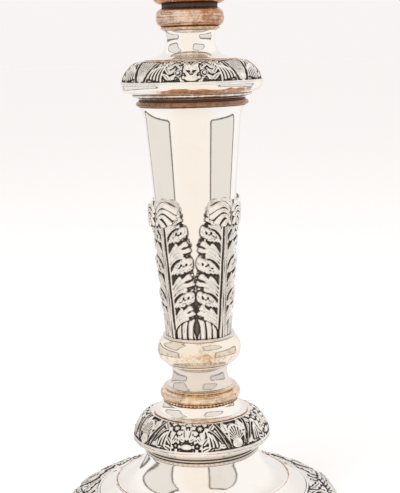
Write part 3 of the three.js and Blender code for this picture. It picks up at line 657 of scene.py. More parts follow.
def build_capital():
    low, high, r = span("column_cap")
    h = high - low
    head = span("column")[2]
    bore = head - CAP_BORE_IN
    ring_top = low + 0.44 * h

    def bare_ring(a, z, rad):
        return 1.1 * np.clip((ring_top + 0.2 - z) / 0.3, 0, 1) * np.clip((z - low - 0.35) / 0.25, 0, 1)

    turned("column_cap", [
        (bore, low), (head + 0.1, low), (head + 0.2, low + 0.4), (head + 0.5, low + 0.5),
        (head + 1.7, low + 0.6, head + 1.5, low + 1.6), (head + 1.3, ring_top - 0.2, head + 0.4, ring_top),
        (head - 0.1, ring_top + 0.1), (head - 0.1, low + 0.58 * h), (head + 0.6, low + 0.62 * h),
        (head + 1.0, low + 0.76 * h, r - 0.4, low + 0.8 * h), (r - 0.05, low + 0.85 * h),
        (r - 0.05, high), (bore, high),
    ], "capital", grime=1.5, bleed_field=bare_ring)

    rim_low, rim_high, rim_r = span("shoulder_rim")
    over_cap = rim_r - r

    def front_patch(a, z, rad):
        off_front = (a + math.pi / 2 - 0.16 + math.pi) % (2 * math.pi) - math.pi
        patch = np.exp(-(off_front / 0.62) ** 4)
        ragged = 0.5 * np.sin(7 * a + 1) + 0.3 * np.sin(17 * a) + 0.2 * np.sin(31 * a + 2)
        edge = rim_low + (rim_high - rim_low) * (0.52 + 0.1 * ragged)
        foot = rim_low + 0.1 * (rim_high - rim_low)
        band = np.clip((edge - z) / 0.35, 0, 1) * np.clip((z - foot) / 0.3, 0, 1)
        return band * (0.25 + 0.95 * patch) + 0.25 * band * (ragged > 0.2)

    ring("shoulder_rim", rim_r - bore - 1, [
        (over_cap - 0.3, 0), (over_cap - 1.2, 0.03), (1.4, 0.12, 0.35, 0.5), (-0.05, 0.72, 0.05, 0.86),
        (0.1, -0.15, 0.5, 1),
    ], "silver", bleed_field=front_patch, grime=0.8)


def build_neck():
    low, high, r = span("neck_spool")
    h = high - low
    waist = span("stem_collar")[2] - COLLAR_OUT
    bore = waist - 1.7
    turned("neck_spool", [
        (r - 2.6, low), (r - 0.5, low), (r + 0.1, low + 0.1, r - 0.2, low + 0.045 * h),
        (r - 0.7, low + 0.075 * h, r - 1.2, low + 0.055 * h), (r - 1.6, low + 0.07 * h),
        (waist + 2.4, low + 0.14 * h, waist, low + 0.36 * h, waist, low + 0.76 * h),
        (waist + 0.1, high - 1.8, waist + 1.2, high - 0.2), (waist + 1.3, high), (bore, high),
        (bore, low + 0.6 * h), (bore, low + 0.1 * h, r - 2.6, low),
    ], "silver", bleed=1.2)
    ring("neck_flange", 4.5, [(1.1, 0), (0.1, 0.1, 0, 0.45), (0, -0.5, 0.5, -0.4), (0.5, 1)],
         "champagne", spin=SPIN_SMALL)
    ring("neck_ring", 6.8, [(1.9, 0), (1.5, 0.05), (0.1, 0.14, 0, 0.48), (0.05, 0.84, 1.7, 0.96), (2.0, 1)],
         "red_copper", grime=1.2)
    # the collar is darkened evenly all round
    ring("stem_collar", 3.6, [(0, 0), (0.25, 0.5, 0, 1)], "brown_copper", spin=SPIN_SMALL, grime=2.2,
         grime_field=lambda a, z, rad: 0.48)


def build_socket():
    low, high, lip = span("socket_vase")
    h = high - low
    collar = span("stem_collar")[2]
    liner = span("nozzle_tube")[2] - NOZZLE_LIP + LINER_PLAY + LINER_WALL
    bulb, waist = liner + 6.2, liner + 3.4
    wall, floor, hole = 1.5, 2.5, 3.5
    z_bulb, z_waist = low + 0.2 * h, low + 0.64 * h

    def copper_foot(a, z, rad):
        return 0.85 * np.clip(1.25 - (z - low) / 6.5, 0, 1) + 0.2 * np.exp(-((z - z_bulb) / 4) ** 2)

    turned("socket_vase", [
        (hole, low), (collar + 1.2, low), (bulb - 0.4, low + 0.7, bulb, z_bulb),
        (bulb, z_bulb + 0.22 * h, waist, z_waist), (waist, z_waist + 0.22 * h, lip - 0.6, high - 0.8),
        (lip - 0.2, high), (lip - 2.7, high),
        (waist - wall, z_waist + 0.2 * h, waist - wall, z_waist),
        (bulb - wall, z_bulb + 0.2 * h, bulb - wall, z_bulb),
        (bulb - wall, low + floor + 0.5, collar - 2, low + floor), (hole, low + floor),
    ], "silver", bleed_field=copper_foot)

    low, high, r = span("socket_rim")
    h = high - low
    turned("socket_rim", [
        (liner + 0.3, low), (lip + 0.2, low), (lip + 0.6, low + 0.18 * h),
        (r + 0.3, low + 0.28 * h, r - 0.05, low + 0.56 * h),
        (r - 0.3, low + 0.86 * h, lip + 0.8, low + 0.88 * h), (lip + 0.2, high),
        (liner + 2.3, high), (liner + 2.3, high - 1.0), (liner + 0.3, high - 1.0),
    ], "silver", bleed=1.3)

    low, high, r = span("socket_liner")
    bore = liner - LINER_WALL
    turned("socket_liner", [
        (bore, low), (liner, low), (liner, high - 1.0), (r, high - 1.0), (r, high), (bore, high),
    ], "red_copper", spin=SPIN_SMALL)


def build_nozzle():
    low, high, r = span("nozzle_tube")
    tube = r - NOZZLE_LIP
    bore = tube - NOZZLE_WALL
    lip_z = high - 1.0
    turned("nozzle_tube", [
        (0, low), (tube - 0.5, low), (tube, low + 0.5), (tube, lip_z), (r - 0.2, lip_z),
        (r, lip_z + 0.1, r, lip_z + 0.5), (r, high, r - 0.5, high), (bore + 0.3, high), (bore, high - 0.4),
        (bore, low + 1.2), (0, low + 1.0),
    ], "warm_silver", "nozzle", spin=SPIN_SMALL, solid=True)
    low, high, pan_r = span("nozzle_pan")
    thick = high - low - 2.4
    flat = span("socket_rim")[2]
    foot = pan_r - 5.5
    turned("nozzle_pan", [
        (tube + 0.3, low), (flat - 0.6, low), (foot, low + 0.2, foot + 0.6, high - thick),
        (pan_r - 0.2, high - thick), (pan_r, high - 0.5 * thick), (pan_r - 0.2, high), (foot - 0.5, high),
        (foot - 1.3, low + thick + 0.2, flat - 0.6, low + thick), (r + 2.2, low + thick),
        (r + 1.4, low + thick + 0.35, r + 0.9, low + thick), (tube + 0.3, low + thick),
    ], "silver", "nozzle")


def build_inside():
    """The pieces that stay hidden keep their own solids and get a finish."""
    for node in ("tie_rod", "rod_washer", "rod_nut", "bottom_plate", "pitch_filling"):
        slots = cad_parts[node].data.materials
        slots.clear()
        slots.append(MATERIALS["pitch" if node == "pitch_filling" else "iron"][1])




# ---------------------------------------------------------------- carved borders
CARVING_EDGE, CARVING_SHADE = 0.1, 0.75  # blurs that soften a carving and find its hollows
BACK_DIRT = 0.12
SHOULDER_SUNK, LOWER_SUNK, BASE_SUNK, NOZZLE_SUNK = 1.25, 1.4, 1.5, 0.8  # grounds below the outside


class Carving:
    """The relief of one repeat of a border, in millimetres above its sunk ground.

    It is a grid of angles round the axis against distance up the border's slope. Places are
    given as degrees from the middle of the repeat and millimetres up the slope; shapes are
    in millimetres on the slope there.
    """

    def __init__(self, repeats, columns, profile, rows):
        self.half = math.pi / repeats
        self.turn = (np.arange(columns) / columns * 2 - 1)[None, :] * self.half
        self.profile = evenly(profile, 0.05, closed=False)
        run = np.concatenate([[0], np.cumsum(np.hypot(*np.diff(self.profile, axis=0).T))])
        self.length = run[-1]
        self.s = np.linspace(0, self.length, rows)[:, None]
        self.line = np.column_stack([np.interp(self.s[:, 0], run, self.profile[:, k]) for k in (0, 1)])
        self.radius = self.line[:, :1]
        self.height = np.zeros((rows, columns))

    def at(self, degrees, s, lean=0.0):
        """Local millimetres round and up from a place, turned clockwise by lean degrees."""
        gap = (self.turn - math.radians(degrees) + self.half) % (2 * self.half) - self.half
        x, y = gap * self.radius, self.s - s
        c, k = math.cos(math.radians(lean)), math.sin(math.radians(lean))
        return c * x - k * y, k * x + c * y

    def add(self, shape):
        self.height = np.maximum(self.height, shape)

    def put(self, shape, degrees, s, lean, *sizes):
        """A shape at a place; its sizes are the shape's own, in their order."""
        self.add(shape(*self.at(degrees, s, lean), *sizes))

    def pair(self, shape, degrees, s, lean, *sizes):
        """The same shape on both sides of the repeat's middle, mirrored."""
        for side in (-1, 1):
            x, y = self.at(side * degrees, s, side * lean)
            self.add(shape(side * x, y, *sizes))

    def path(self, places, radius, top, taper=0.5, side=1):
        """A rounded cord that runs through three places as a curve, thinning towards its end."""
        t = np.linspace(0, 1, 28)
        a, b, c = np.array(places, float)
        line = (1 - t[:, None]) ** 2 * a + 2 * (t * (1 - t))[:, None] * b + t[:, None] ** 2 * c
        shape = np.zeros_like(self.height)
        for share, (degrees, s) in zip(t, line):
            x, y = self.at(side * degrees, s)
            r = radius * (1 - taper * share)
            crown = np.sqrt(np.clip(1 - (x * x + y * y) / (r * r), 0, 1))
            shape = np.maximum(shape, top * (0.75 + 0.25 * r / radius) * crown)
        return shape

    def cords(self, places, radius, top, taper=0.5):
        for side in (-1, 1):
            self.add(self.path(places, radius, top, taper, side))

    def cut(self, places, radius, taper):
        """A groove through whatever is there, down towards the ground."""
        for side in (-1, 1):
            groove = np.clip(1.5 * self.path(places, radius, 1.0, taper, side), 0, 1)
            self.height = self.height * (1 - groove)

    def fill(self, count, long, wide, top, moat=0.42, margin=0.8):
        """Small leaves crowded over the ground, a narrow sunk line left round what is there already."""
        cell = self.length / (len(self.s) - 1)
        near = spread((self.height > 0.15).astype(float), moat / cell, True)
        behind = np.zeros_like(self.height)
        for _ in range(count):
            degrees = rng.uniform(0, math.degrees(self.half))
            s = rng.uniform(margin, self.length - margin)
            lean = rng.uniform(-180, 180)
            size = rng.uniform(0.75, 1.25)
            for side in (-1, 1):
                x, y = self.at(side * degrees, s, side * lean)
                y = y + 0.5 * long * size
                leaf = petal(side * x, y, long * size, wide * size, top * rng.uniform(0.7, 1.0))
                behind = np.maximum(behind, leaf)
        self.add(behind * np.clip(1.3 - 2.6 * near, 0, 1))

    def rails(self, foot, head, top):
        """A raised line along each edge of the border."""
        low = np.sqrt(np.clip(1 - (np.clip(self.s - 0.4 * foot, 0, None) / (0.6 * foot)) ** 2, 0, 1))
        head_in = np.clip(self.length - 0.4 * head - self.s, 0, None)
        high = np.sqrt(np.clip(1 - (head_in / (0.6 * head)) ** 2, 0, 1))
        self.add(top * np.maximum(low, high) + 0 * self.turn)


def boss(x, y, wide, tall, top):
    return top * np.sqrt(np.clip(1 - (x / wide) ** 2 - (y / tall) ** 2, 0, 1))


def ringed_boss(x, y, wide, tall, top):
    """A boss with a sunk ring round its middle."""
    q = np.sqrt((x / wide) ** 2 + (y / tall) ** 2)
    return boss(x, y, wide, tall, top) - 0.62 * top * np.exp(-((q - 0.58) / 0.13) ** 2) * (q < 1)


def petal(x, y, long, wide, top, sweep=0.0, vein=0.45):
    """A petal that grows along y from the place it is put, with a sunk vein."""
    u = np.clip(y / long, 0, 1)
    across = x - sweep * long * u * u
    half = 0.6 * wide * np.sin(math.pi * u**0.7) ** 0.8 + 1e-6
    q = np.abs(across) / half
    inside = (y > 0) & (y < long) & (q < 1)
    h = top * np.sqrt(np.clip(1 - q**2, 0, 1)) * (0.8 + 0.2 * u)
    h = h - vein * top * np.exp(-((across) / (0.085 * wide)) ** 2) * (u < 0.85)
    return np.where(inside, np.clip(h, 0, None), 0)


def rosette(x, y, size, petals, top, turn=0.0):
    """A flower seen from the front: petals round a raised eye."""
    rho, phi = np.hypot(x, y), np.arctan2(x, y) + turn
    lobe = np.abs(np.cos(0.5 * petals * phi))
    edge = size * (0.52 + 0.48 * lobe**0.55)
    cup = 0.62 + 0.38 * np.clip(rho / size / 0.7, 0, 1)
    h = top * np.sqrt(np.clip(1 - (rho / edge) ** 4, 0, 1)) * cup * (0.5 + 0.5 * lobe**0.6)
    h = h - 0.55 * top * np.exp(-((rho - 0.36 * size) / (0.085 * size)) ** 2)
    return np.maximum(np.clip(h, 0, None), boss(x, y, 0.27 * size, 0.27 * size, 1.05 * top))


def scallop(x, y, reach, open_degrees, ribs, top, squash=1.0):
    """A fluted fan opening along y from its hinge, its rim scalloped."""
    rho, phi = np.hypot(x / squash, y), np.arctan2(x / squash, y)
    spread = math.radians(open_degrees)
    odd = 0.5 * math.pi * (ribs + 1) % math.pi
    flute = np.abs(np.cos(0.5 * math.pi * ribs * phi / spread + odd))
    edge = reach * (0.9 + 0.1 * flute) * (1 - 0.13 * (np.abs(phi) / spread) ** 2)
    inside = (rho < edge) & (np.abs(phi) < spread)
    h = np.sqrt(np.clip(1 - (rho / edge) ** 7, 0, 1)) * np.sqrt(np.clip(1 - (phi / spread) ** 8, 0, 1))
    h = top * h * (0.7 + 0.3 * np.clip(rho / reach, 0, 1)) * (0.34 + 0.66 * flute**0.7)
    return np.where(inside, h, 0)


def spread(values, sigma, wrap):
    """Gaussian blur of a grid, wrapping round its columns if asked."""
    reach = int(3 * sigma) + 1
    weights = bell(sigma, reach)
    for axis, mode in ((0, "edge"), (1, "wrap" if wrap else "edge")):
        pads = [(0, 0), (0, 0)]
        pads[axis] = (reach, reach)
        padded = np.pad(values, pads, mode=mode)
        values = np.apply_along_axis(np.convolve, axis, padded, weights, "valid")
    return values


def carved_border(name, carving, repeats, back, turn_degrees, body="candlestick", ground=0.3):
    """The finished border: its carved face on the slope, closed behind by a plain return."""
    rows, columns = carving.height.shape
    around = columns * repeats
    cell = carving.length / (rows - 1)
    full = np.tile(carving.height, (1, repeats))
    soft = spread(full, CARVING_EDGE / cell, True)
    wide = spread(full, CARVING_SHADE / cell, True)
    front = math.radians(turn_degrees) - math.pi / 2
    angle = (np.arange(around) / columns * 2 - 1) * carving.half + front
    unevenness = (0.07 * np.sin(7 * angle + 0.7) + 0.05 * np.sin(17 * angle + 2.1))[None, :]
    soft = soft * (1 + unevenness) - 0.05 * rng.random(soft.shape) * (soft < 0.2)
    out = side_normals(carving.line, False)
    back = np.array(back, float)
    flat = 0 * angle
    r = np.vstack([carving.radius + soft * out[:, :1], back[:, :1] + flat])
    z = np.vstack([carving.line[:, 1:] + soft * out[:, 1:], back[:, 1:] + flat])
    vertices = np.stack([r * np.cos(angle), r * np.sin(angle), z], -1).reshape(-1, 3) * MM
    # painted shade: slopes are darkened by their steepness, and hollows are darkened both for tarnish and as
    # painted mid-tone shade; the sunk ground is darkened for its tarnish
    hollow = np.clip((wide - soft) / 0.42, 0, 1) * 0.88
    deep = np.clip((ground - soft) / ground, 0, 1) * 0.55
    steep = np.hypot(*np.gradient(soft, cell, 2 * math.pi / around * carving.radius.mean()))
    oxide_and_shade = np.clip(np.maximum(hollow, deep) + 0.42 * np.clip(steep - 0.35, 0, 1.2), 0, 1)
    stand = np.clip((soft - wide) / 0.5, 0, 1) * 0.22
    plain = np.zeros((len(back), around))
    layers = {
        "oxide_and_shade": np.vstack([oxide_and_shade, plain + BACK_DIRT]).ravel(),
        "bleed": np.vstack([stand, plain]).ravel(),
    }
    run = np.concatenate([carving.s[:, 0], carving.length + 2 * np.arange(1, len(back) + 1)])
    turned_by = np.arange(around) * 2 * math.pi / around
    uv = np.stack(np.broadcast_arrays(turned_by * carving.radius.max(), run[:, None]), -1).reshape(-1, 2)
    obj = mesh_object(name, vertices, ring_faces(len(run), around, True), layers, None, uv)
    return finished(obj, "chased", body, name)


def build_shoulder_border():
    low, high, r = span("shoulder_border")
    head = span("neck_spool")[2] + 0.4
    sunk = SHOULDER_SUNK
    face = traced([(r - sunk, low), (r - sunk + 0.1, low + 0.2),
                   (r - sunk - 0.6, low + 0.52 * (high - low), head + 4.2, high - 1.3),
                   (head + 0.4, high - 0.7)])
    c = Carving(4, 248, face, 84)
    # the middle: a two-lobed bud under an arch, on a small foot
    c.pair(boss, 3.5, 9.4, 14, 1.95, 3.1, 1.3)
    c.put(petal, 0, 5.4, 0, 5.0, 1.6, 1.0, 0, 0.2)
    c.put(boss, 0, 2.6, 0, 3.6, 1.9, 1.1)
    c.pair(petal, 1.2, 3.4, 50, 4.4, 1.8, 1.1, -0.2)
    c.cords([(0, 14.6), (6.4, 15.4), (7.6, 11.4)], 0.75, 1.15, 0.2)
    c.put(boss, 0, 13.4, 0, 3.6, 1.0, 1.25)
    c.pair(petal, 6.2, 5.2, -18, 4.6, 1.7, 1.1, 0.25)
    c.pair(boss, 6.4, 3.0, 0, 0.9, 1.1, 1.0)
    # rosettes and an oval ring over them
    c.pair(ringed_boss, 10.9, 5.2, 0, 1.95, 1.95, 1.2)
    c.pair(ringed_boss, 12.0, 13.6, 0, 2.7, 1.8, 1.1)
    c.pair(petal, 9.6, 8.3, 62, 3.0, 1.5, 1.1, -0.2)
    c.pair(petal, 10.6, 9.8, 74, 3.2, 1.4, 1.1, 0.2)
    c.pair(boss, 9.0, 11.6, 0, 0.62, 0.62, 1.0)
    c.pair(boss, 14.4, 2.6, 0, 0.7, 1.0, 0.9)
    # feathered sprays
    for k in range(4):
        c.pair(petal, 17.6 + 0.6 * k, 1.6 + 2.9 * k, 36 - 12 * k, 5.4, 2.4, 1.25, 0.25)
        c.pair(petal, 17.4 + 0.7 * k, 1.6 + 2.8 * k, -36 + 8 * k, 4.4, 2.1, 1.15, -0.25)
    # curled flutes, fanned from the foot of the diagonal bar
    for k in range(5):
        foot, middle = (24.8 + 3.0 * k, 1.6 + 0.35 * k), (25.4 + 2.7 * k, 5.5 + 0.3 * k)
        c.cords([foot, middle, (22.4 + 1.8 * k, 10.0 - 0.4 * k)], 0.88, 1.2, 0.3)
    c.cords([(21.6, 10.6), (28.5, 11.6), (36.5, 3.8)], 0.62, 1.1, 0.3)
    c.pair(petal, 23.6, 11.2, 38, 4.2, 2.4, 1.15, -0.1)
    # shell between two bars, its hinge low
    c.put(scallop, 45, -1.2, 0, 16.6, 29, 9, 1.3, 1.0)
    c.put(boss, 45, 2.4, 0, 2.3, 2.0, 1.2)
    for side in (-1, 1):
        c.put(petal, 45 + side * 3.2, 0.9, side * 30, 5.2, 1.9, 1.2, 0)
    c.cut([(30.2, 15.6), (36.2, 8.4), (40.6, 0.6)], 0.62, -0.35)
    c.cords([(28.6, 15.8), (33.8, 9.8), (38.9, 1.2)], 0.52, 1.15, 0.1)
    c.fill(110, 3.8, 2.2, 0.95)
    c.rails(1.0, 0.8, 1.15)
    carved_border("shoulder_border", c, 4, [
        (head + 0.1, high), (head - 0.6, high), (head - 2.3, high - 0.2), (head - 2.3, high - 1.9),
        (head + 4.4, high - 4.2), (r - 3.0, low + 3.0), (r - 3.0, low)], 0)


def build_lower_border():
    low, high, r = span("lower_border")
    head = span("foot_cavetto")[2] + 0.6
    sunk = LOWER_SUNK
    h = high - low
    face = traced([(r - sunk, low), (r - sunk + 0.1, low + 0.2),
                   (r - sunk - 0.6, low + 0.5 * h, head + 4.6, high - 1.4, head + 0.3, high - 0.8)])
    c = Carving(4, 248, face, 84)
    # the middle: a pointed bud between two petals, on a foot
    c.put(petal, 0, 6.0, 0, 6.8, 2.6, 1.45, 0, 0.2)
    c.pair(petal, 1.2, 6.6, 30, 6.6, 2.7, 1.35, -0.45)
    c.pair(petal, 1.5, 5.8, 74, 4.6, 2.2, 1.25, -0.3)
    c.put(boss, 0, 3.0, 0, 3.2, 1.7, 1.15)
    c.put(boss, 0, 14.6, 0, 1.7, 1.1, 1.2)
    c.pair(petal, 1.6, 13.2, 40, 3.4, 1.7, 1.1, 0.2)
    # two flowers over leaves, with berries
    c.pair(rosette, 11.6, 12.2, 0, 4.9, 6, 1.6, 0.3)
    c.pair(rosette, 9.2, 3.5, 0, 3.1, 5, 1.45, 0.5)
    for place, s in ((5.6, 10.4), (5.2, 8.0), (7.0, 7.0), (10.2, 7.6), (6.4, 15.2), (15.6, 15.6)):
        c.pair(boss, place, s, 0, 1.05, 1.05, 1.3)
    for k in range(3):
        c.pair(petal, 13.8, 1.2 + 2.5 * k, 62 - 30 * k, 5.0, 2.8, 1.35, 0.15)
    c.pair(petal, 12.6, 4.6, -30, 3.8, 2.4, 1.2, -0.2)
    c.cords([(13.2, 0.9), (13.0, 6), (15.2, 10.5)], 0.62, 1.25, 0.4)
    # upright reeds
    for k in range(3):
        foot, middle = (19.8 + 3.1 * k, 3.0), (19.6 + 2.9 * k, 6)
        c.cords([foot, middle, (18.0 + 2.1 * k, 10.2 - 0.8 * k)], 0.86, 1.3, 0.1)
    c.cords([(17.6, 11.2), (23, 12), (31.0, 4.4)], 0.6, 1.1, 0.3)
    # heart petal inside the bar
    c.pair(petal, 21.2, 11.4, 30, 4.6, 2.8, 1.2, 0.1)
    # arched shell between two bars, over a boss
    c.put(scallop, 45, 3.2, 0, 10.4, 62, 9, 1.35, 0.82)
    for side in (-1, 1):
        c.put(petal, 45 + side * 8.5, 8.6, side * 12, 7.8, 3.6, 1.35, -0.15 * side, 0.3)
        c.put(petal, 45 + side * 4.6, 12.4, side * 55, 3.6, 1.9, 1.25, 0.2 * side)
    arch = np.hypot(*(v / q for v, q in zip(c.at(45, 5.2), (4.4, 7.4))))
    c.add(1.35 * np.sqrt(np.clip(1 - ((arch - 1) / 0.15) ** 2, 0, 1)) * (c.s > 4.0))
    c.put(boss, 45, 3.2, 0, 3.3, 2.8, 1.45)
    c.cut([(25.6, 16.4), (31.2, 9.4), (37.6, 1.4)], 0.7, -0.5)
    c.cords([(23.8, 16.6), (29.4, 10.2), (35.8, 1.6)], 0.52, 1.25, 0.1)
    c.cords([(27.6, 16.4), (33.6, 9.6), (38.8, 3.0)], 0.52, 1.25, 0.1)
    c.fill(110, 4.0, 2.3, 1.05)
    c.rails(1.1, 0.8, 1.25)
    carved_border("lower_border", c, 4, [
        (head - 0.1, high), (head - 0.7, high), (head - 2.5, high - 0.2), (head - 2.5, high - 1.9),
        (head + 3.0, high - 3.6), (r - 3.2, low + 5.0), (r - 3.2, low)], -13)


def build_base_border():
    low, high, r = span("base_border")
    width = BASE_BORDER_W
    inner = r - width
    sunk = BASE_SUNK
    edge = r - 0.4
    face = traced([(edge - 2.6, low), (edge - 1.1, low + 0.9, edge - sunk + 0.1, low + 3.0),
                   (edge - 0.32 * width - sunk, high - 1.9, inner + 0.2, high - 1.3)])
    repeats = 6
    c = Carving(repeats, 170, face, 86)
    # a shell on the outside edge, between two scrolls
    c.put(scallop, 0, 12.8, 180, 12.2, 58, 9, 1.9, 1.05)
    c.put(boss, 0, 14.2, 0, 2.6, 2.0, 1.7)
    c.cords([(4.4, 15.2), (12.4, 16.8), (13.2, 10.8)], 1.0, 1.7, 0.3)
    c.cords([(13.2, 10.8), (13.4, 6.4), (9.6, 6.6)], 0.85, 1.6, 0.4)
    c.pair(rosette, 11.2, 10.2, 0, 2.9, 6, 1.7, 0.2)
    # leaves that run along the edge towards the next flower
    for k in range(4):
        c.pair(petal, 14.4 + 3.3 * k, 2.0 + 0.4 * k, 60 - 9 * k, 7.6, 3.6, 2.1, -0.2)
        c.pair(petal, 15.6 + 3.1 * k, 8.4 + 0.6 * k, 118 - 10 * k, 6.2, 3.2, 1.9, 0.2)
    c.cords([(12.4, 3.2), (20, 7.4), (28.4, 6.8)], 0.85, 1.8, 0.3)
    c.put(rosette, 180 / repeats, 9.2, 0, 4.4, 7, 1.9, 0.1)
    for side in (-1, 1):
        c.put(petal, 30 + side * 1.5, 13.4, side * 28, 5.0, 2.5, 1.6, 0)
        c.put(petal, 30 + side * 1.8, 4.9, 180 - side * 34, 4.8, 2.8, 1.75, 0)
    c.put(petal, 30, 4.9, 180, 5.2, 2.5, 1.75, 0)
    c.pair(boss, 19.5, 15.6, 0, 1.0, 1.0, 1.4)
    c.pair(boss, 23.0, 13.2, 0, 0.9, 0.9, 1.4)
    for k in range(3):
        c.pair(petal, 17.4 + 3.8 * k, 14.6 - 0.8 * k, -60 - 12 * k, 6.4, 3.4, 1.7, 0.2)
    c.fill(110, 6.0, 3.4, 1.35)
    c.rails(1.3, 1.0, 1.3)
    # the shell and the leaves stand past the rim a little, so the edge is not a plain circle
    wave = np.cos(c.turn * repeats) * 0.5 + 0.3 * np.cos(3 * c.turn * repeats) ** 2
    c.height = c.height + np.clip(0.9 * np.exp(-((c.s - 1.5) / 3.0) ** 2) * wave, -0.4, 0.8)
    carved_border("base_border", c, repeats, [
        (inner, high), (inner, high - 2.6), (inner + 3, high - 4.0), (r - 5.7, low + 1.0), (r - 5.7, low)],
        7)


def build_nozzle_border():
    low, high, r = span("nozzle_border")
    width = 7.6
    sunk = NOZZLE_SUNK
    inner = r - width
    face = traced([(r - 2.3, low), (r - 0.9, low + 0.5, r - sunk, low + 1.9),
                   (r - 0.3 * width - sunk, high - 0.7, inner + 1.4, high - 0.9)])
    c = Carving(8, 104, face, 42)
    c.put(scallop, 0, 6.6, 180, 6.2, 56, 7, 0.95, 1.05)
    c.put(boss, 0, 7.0, 0, 1.3, 0.9, 0.9)
    for k in range(3):
        c.pair(petal, 8.4 + 3.4 * k, 1.6 + 0.3 * k, 58 - 10 * k, 3.6, 1.6, 0.9, -0.2)
        c.pair(petal, 9.0 + 3.2 * k, 4.4 + 0.3 * k, 118 - 9 * k, 2.9, 1.4, 0.85, 0.2)
    c.cords([(7.4, 1.6), (14, 4.2), (20.5, 3.9)], 0.5, 0.95, 0.3)
    c.put(rosette, 22.5, 4.4, 0, 2.2, 6, 0.95, 0.1)
    c.fill(40, 2.6, 1.3, 0.6, 0.8)
    c.rails(0.8, 0.7, 0.8)
    pan_top = span("nozzle_pan")[1]
    carved_border("nozzle_border", c, 8, [
        (inner + 0.7, high - 1.2), (inner, pan_top + 0.4), (inner, pan_top), (r - 1.0, pan_top),
        (r - 1.0, pan_top - 1.5), (r - 1.6, low)], 0, "nozzle", 0.2)


# ---------------------------------------------------------------- acanthus leaves
# Each lobe of a leaf: its lower and upper end up the leaf, how far round it reaches, and whether
# it is a round cushion (1) or a fan of fingers (0).
LOBES = (
    (10.6, 18.6, 43.6, 0), (18.6, 25.6, 44.0, 1), (25.6, 35.6, 44.2, 0), (35.6, 43.4, 43.2, 1),
    (43.4, 52.4, 40.2, 0), (52.4, 59.4, 36.4, 1), (59.4, 67.0, 29.0, 0),
)
LEAF_ROWS, LEAF_COLUMNS = 276, 128
HOOD_FROM = 0.845  # share of the rows that climb; the others turn over at the tip
HOOD_DEGREES = 24.0
LEAF_TOP = 70.9
CURL_R = 2.3
LEAF_TURN = math.radians(-3)  # the leaves stand a little off the diagonals
VEIN_RISE = 13.0
VEIN_REACH = 4.2
REED_PITCH = 3.0
STEM_HEIGHTS = (0, 30, 60)  # where the stem's half width and its bank's distance out are given
STEM_HALF_W = (1.9, 1.35, 0.85)
BANK_OUT = (2.5, 2.0, 1.5)
STEM_TOP = 2.1
LEAF_T = 0.35  # half the thickness of the leaf's sheet
LEAF_SEAT = 0.3  # between the sheet and the column
HOOD_LOBE = 5.2  # radius of each rounded half of the tip
LEAF_SHADE = 3.4  # blur, in cells of the sheet, that finds the carving's hollows


def leaf_half_angle(s):
    """How far round, in degrees, the leaf reaches at a height above its foot."""
    reach = np.interp(s, [0, 1.2, 3.0, 6.5, 9.4, 10.6], [43.2, 42.6, 40.0, 39.4, 42.0, 43.6])
    for low, high, degrees, cushion in LOBES:
        q = np.clip((s - low) / (high - low), 0, 1)
        edge = degrees - 5.2 + 5.2 * np.sqrt(np.clip(1 - np.abs(2 * q - 1) ** 2.4, 0, 1))
        if not cushion:
            edge = edge - 1.1 * np.cos(3 * math.pi * (2 * q - 1)) * (q > 0) * (q < 1)
        reach = np.where((s >= low) & (s < high), edge, reach)
    neck = LOBES[-1][1]
    return np.where(s >= neck, np.interp(s, [neck, neck + 1.0], [25.0, HOOD_DEGREES]), reach)


def dome(gap):
    """Height of a round boss of height 1, at a distance from its middle as a share of its radius."""
    return np.sqrt(np.clip(1 - gap**2, 0, 1))


def finger(x, w, path, start, end, top, vein=0.3):
    """A rounded finger along three places, swelling from start to end in radius, a vein down it."""
    shape = np.zeros_like(x)
    line = np.full_like(x, 9.0)
    for k in np.linspace(0, 1, 22):
        px, pw = ((1 - k) ** 2 * a + 2 * k * (1 - k) * b + k * k * c for a, b, c in zip(*path))
        r = start + (end - start) * k**0.8
        gap = np.hypot(x - px, w - pw)
        shape = np.maximum(shape, top * (0.55 + 0.45 * r / end) * dome(gap / r))
        if 0.25 < k < 0.9:
            line = np.minimum(line, gap)
    return shape - vein * top * np.exp(-(line / 0.25) ** 2) * (shape > 0)


def cushion_relief(side, w, edge, low, h):
    """A round lobe: a swelling with small bosses along its upper edge and curled cuts."""
    path = (1.8, low + 0.6 * h), (0.45 * edge, low + 0.66 * h), (0.8 * edge, low + 0.5 * h)
    body = finger(side, w, path, 0.9, 0.54 * h, 2.0, 0.0)
    for out, up, size in ((0.34, 0.34, 1.2), (0.48, 0.2, 1.5), (0.64, 0.12, 1.6), (0.8, 0.16, 1.6),
                          (0.94, 0.42, 1.6)):
        gap = np.hypot(side - out * edge, w - low - up * h)
        body = np.maximum(body, 1.75 * dome(gap / size))
    for out, up, size in ((0.5, 0.62, 1.5), (0.7, 0.66, 1.7), (0.86, 0.58, 1.5)):
        rise = w - low - up * h
        gap = np.hypot(side - out * edge, rise) / size
        body = body - 0.6 * np.exp(-((gap - 0.8) / 0.17) ** 2) * (rise < 0.5) * (body > 0)
    return body


def fan_relief(side, w, edge, low, h):
    """A lobe of four fingers that spread from the stem."""
    fans = (
        ((1.6, 0.72), (3.6 / edge, 0.78), (0.43, 0.82), 0.8, 1.85, 1.5),
        ((1.7, 0.52), (0.5, 0.56), (0.8, 0.76), 0.8, 2.15, 1.8),
        ((1.8, 0.34), (0.5, 0.36), (0.9, 0.38), 0.8, 1.8, 1.6),
        ((1.9, 0.14), (0.45, 0.16), (0.7, 0.1), 0.75, 1.5, 1.45),
    )
    piece = np.zeros_like(side)
    for root, middle, tip, *sizes in fans:
        path = [(root[0], low + root[1] * h)] + [(out * edge, low + up * h) for out, up in (middle, tip)]
        piece = np.maximum(piece, finger(side, w, path, *sizes))
    return piece


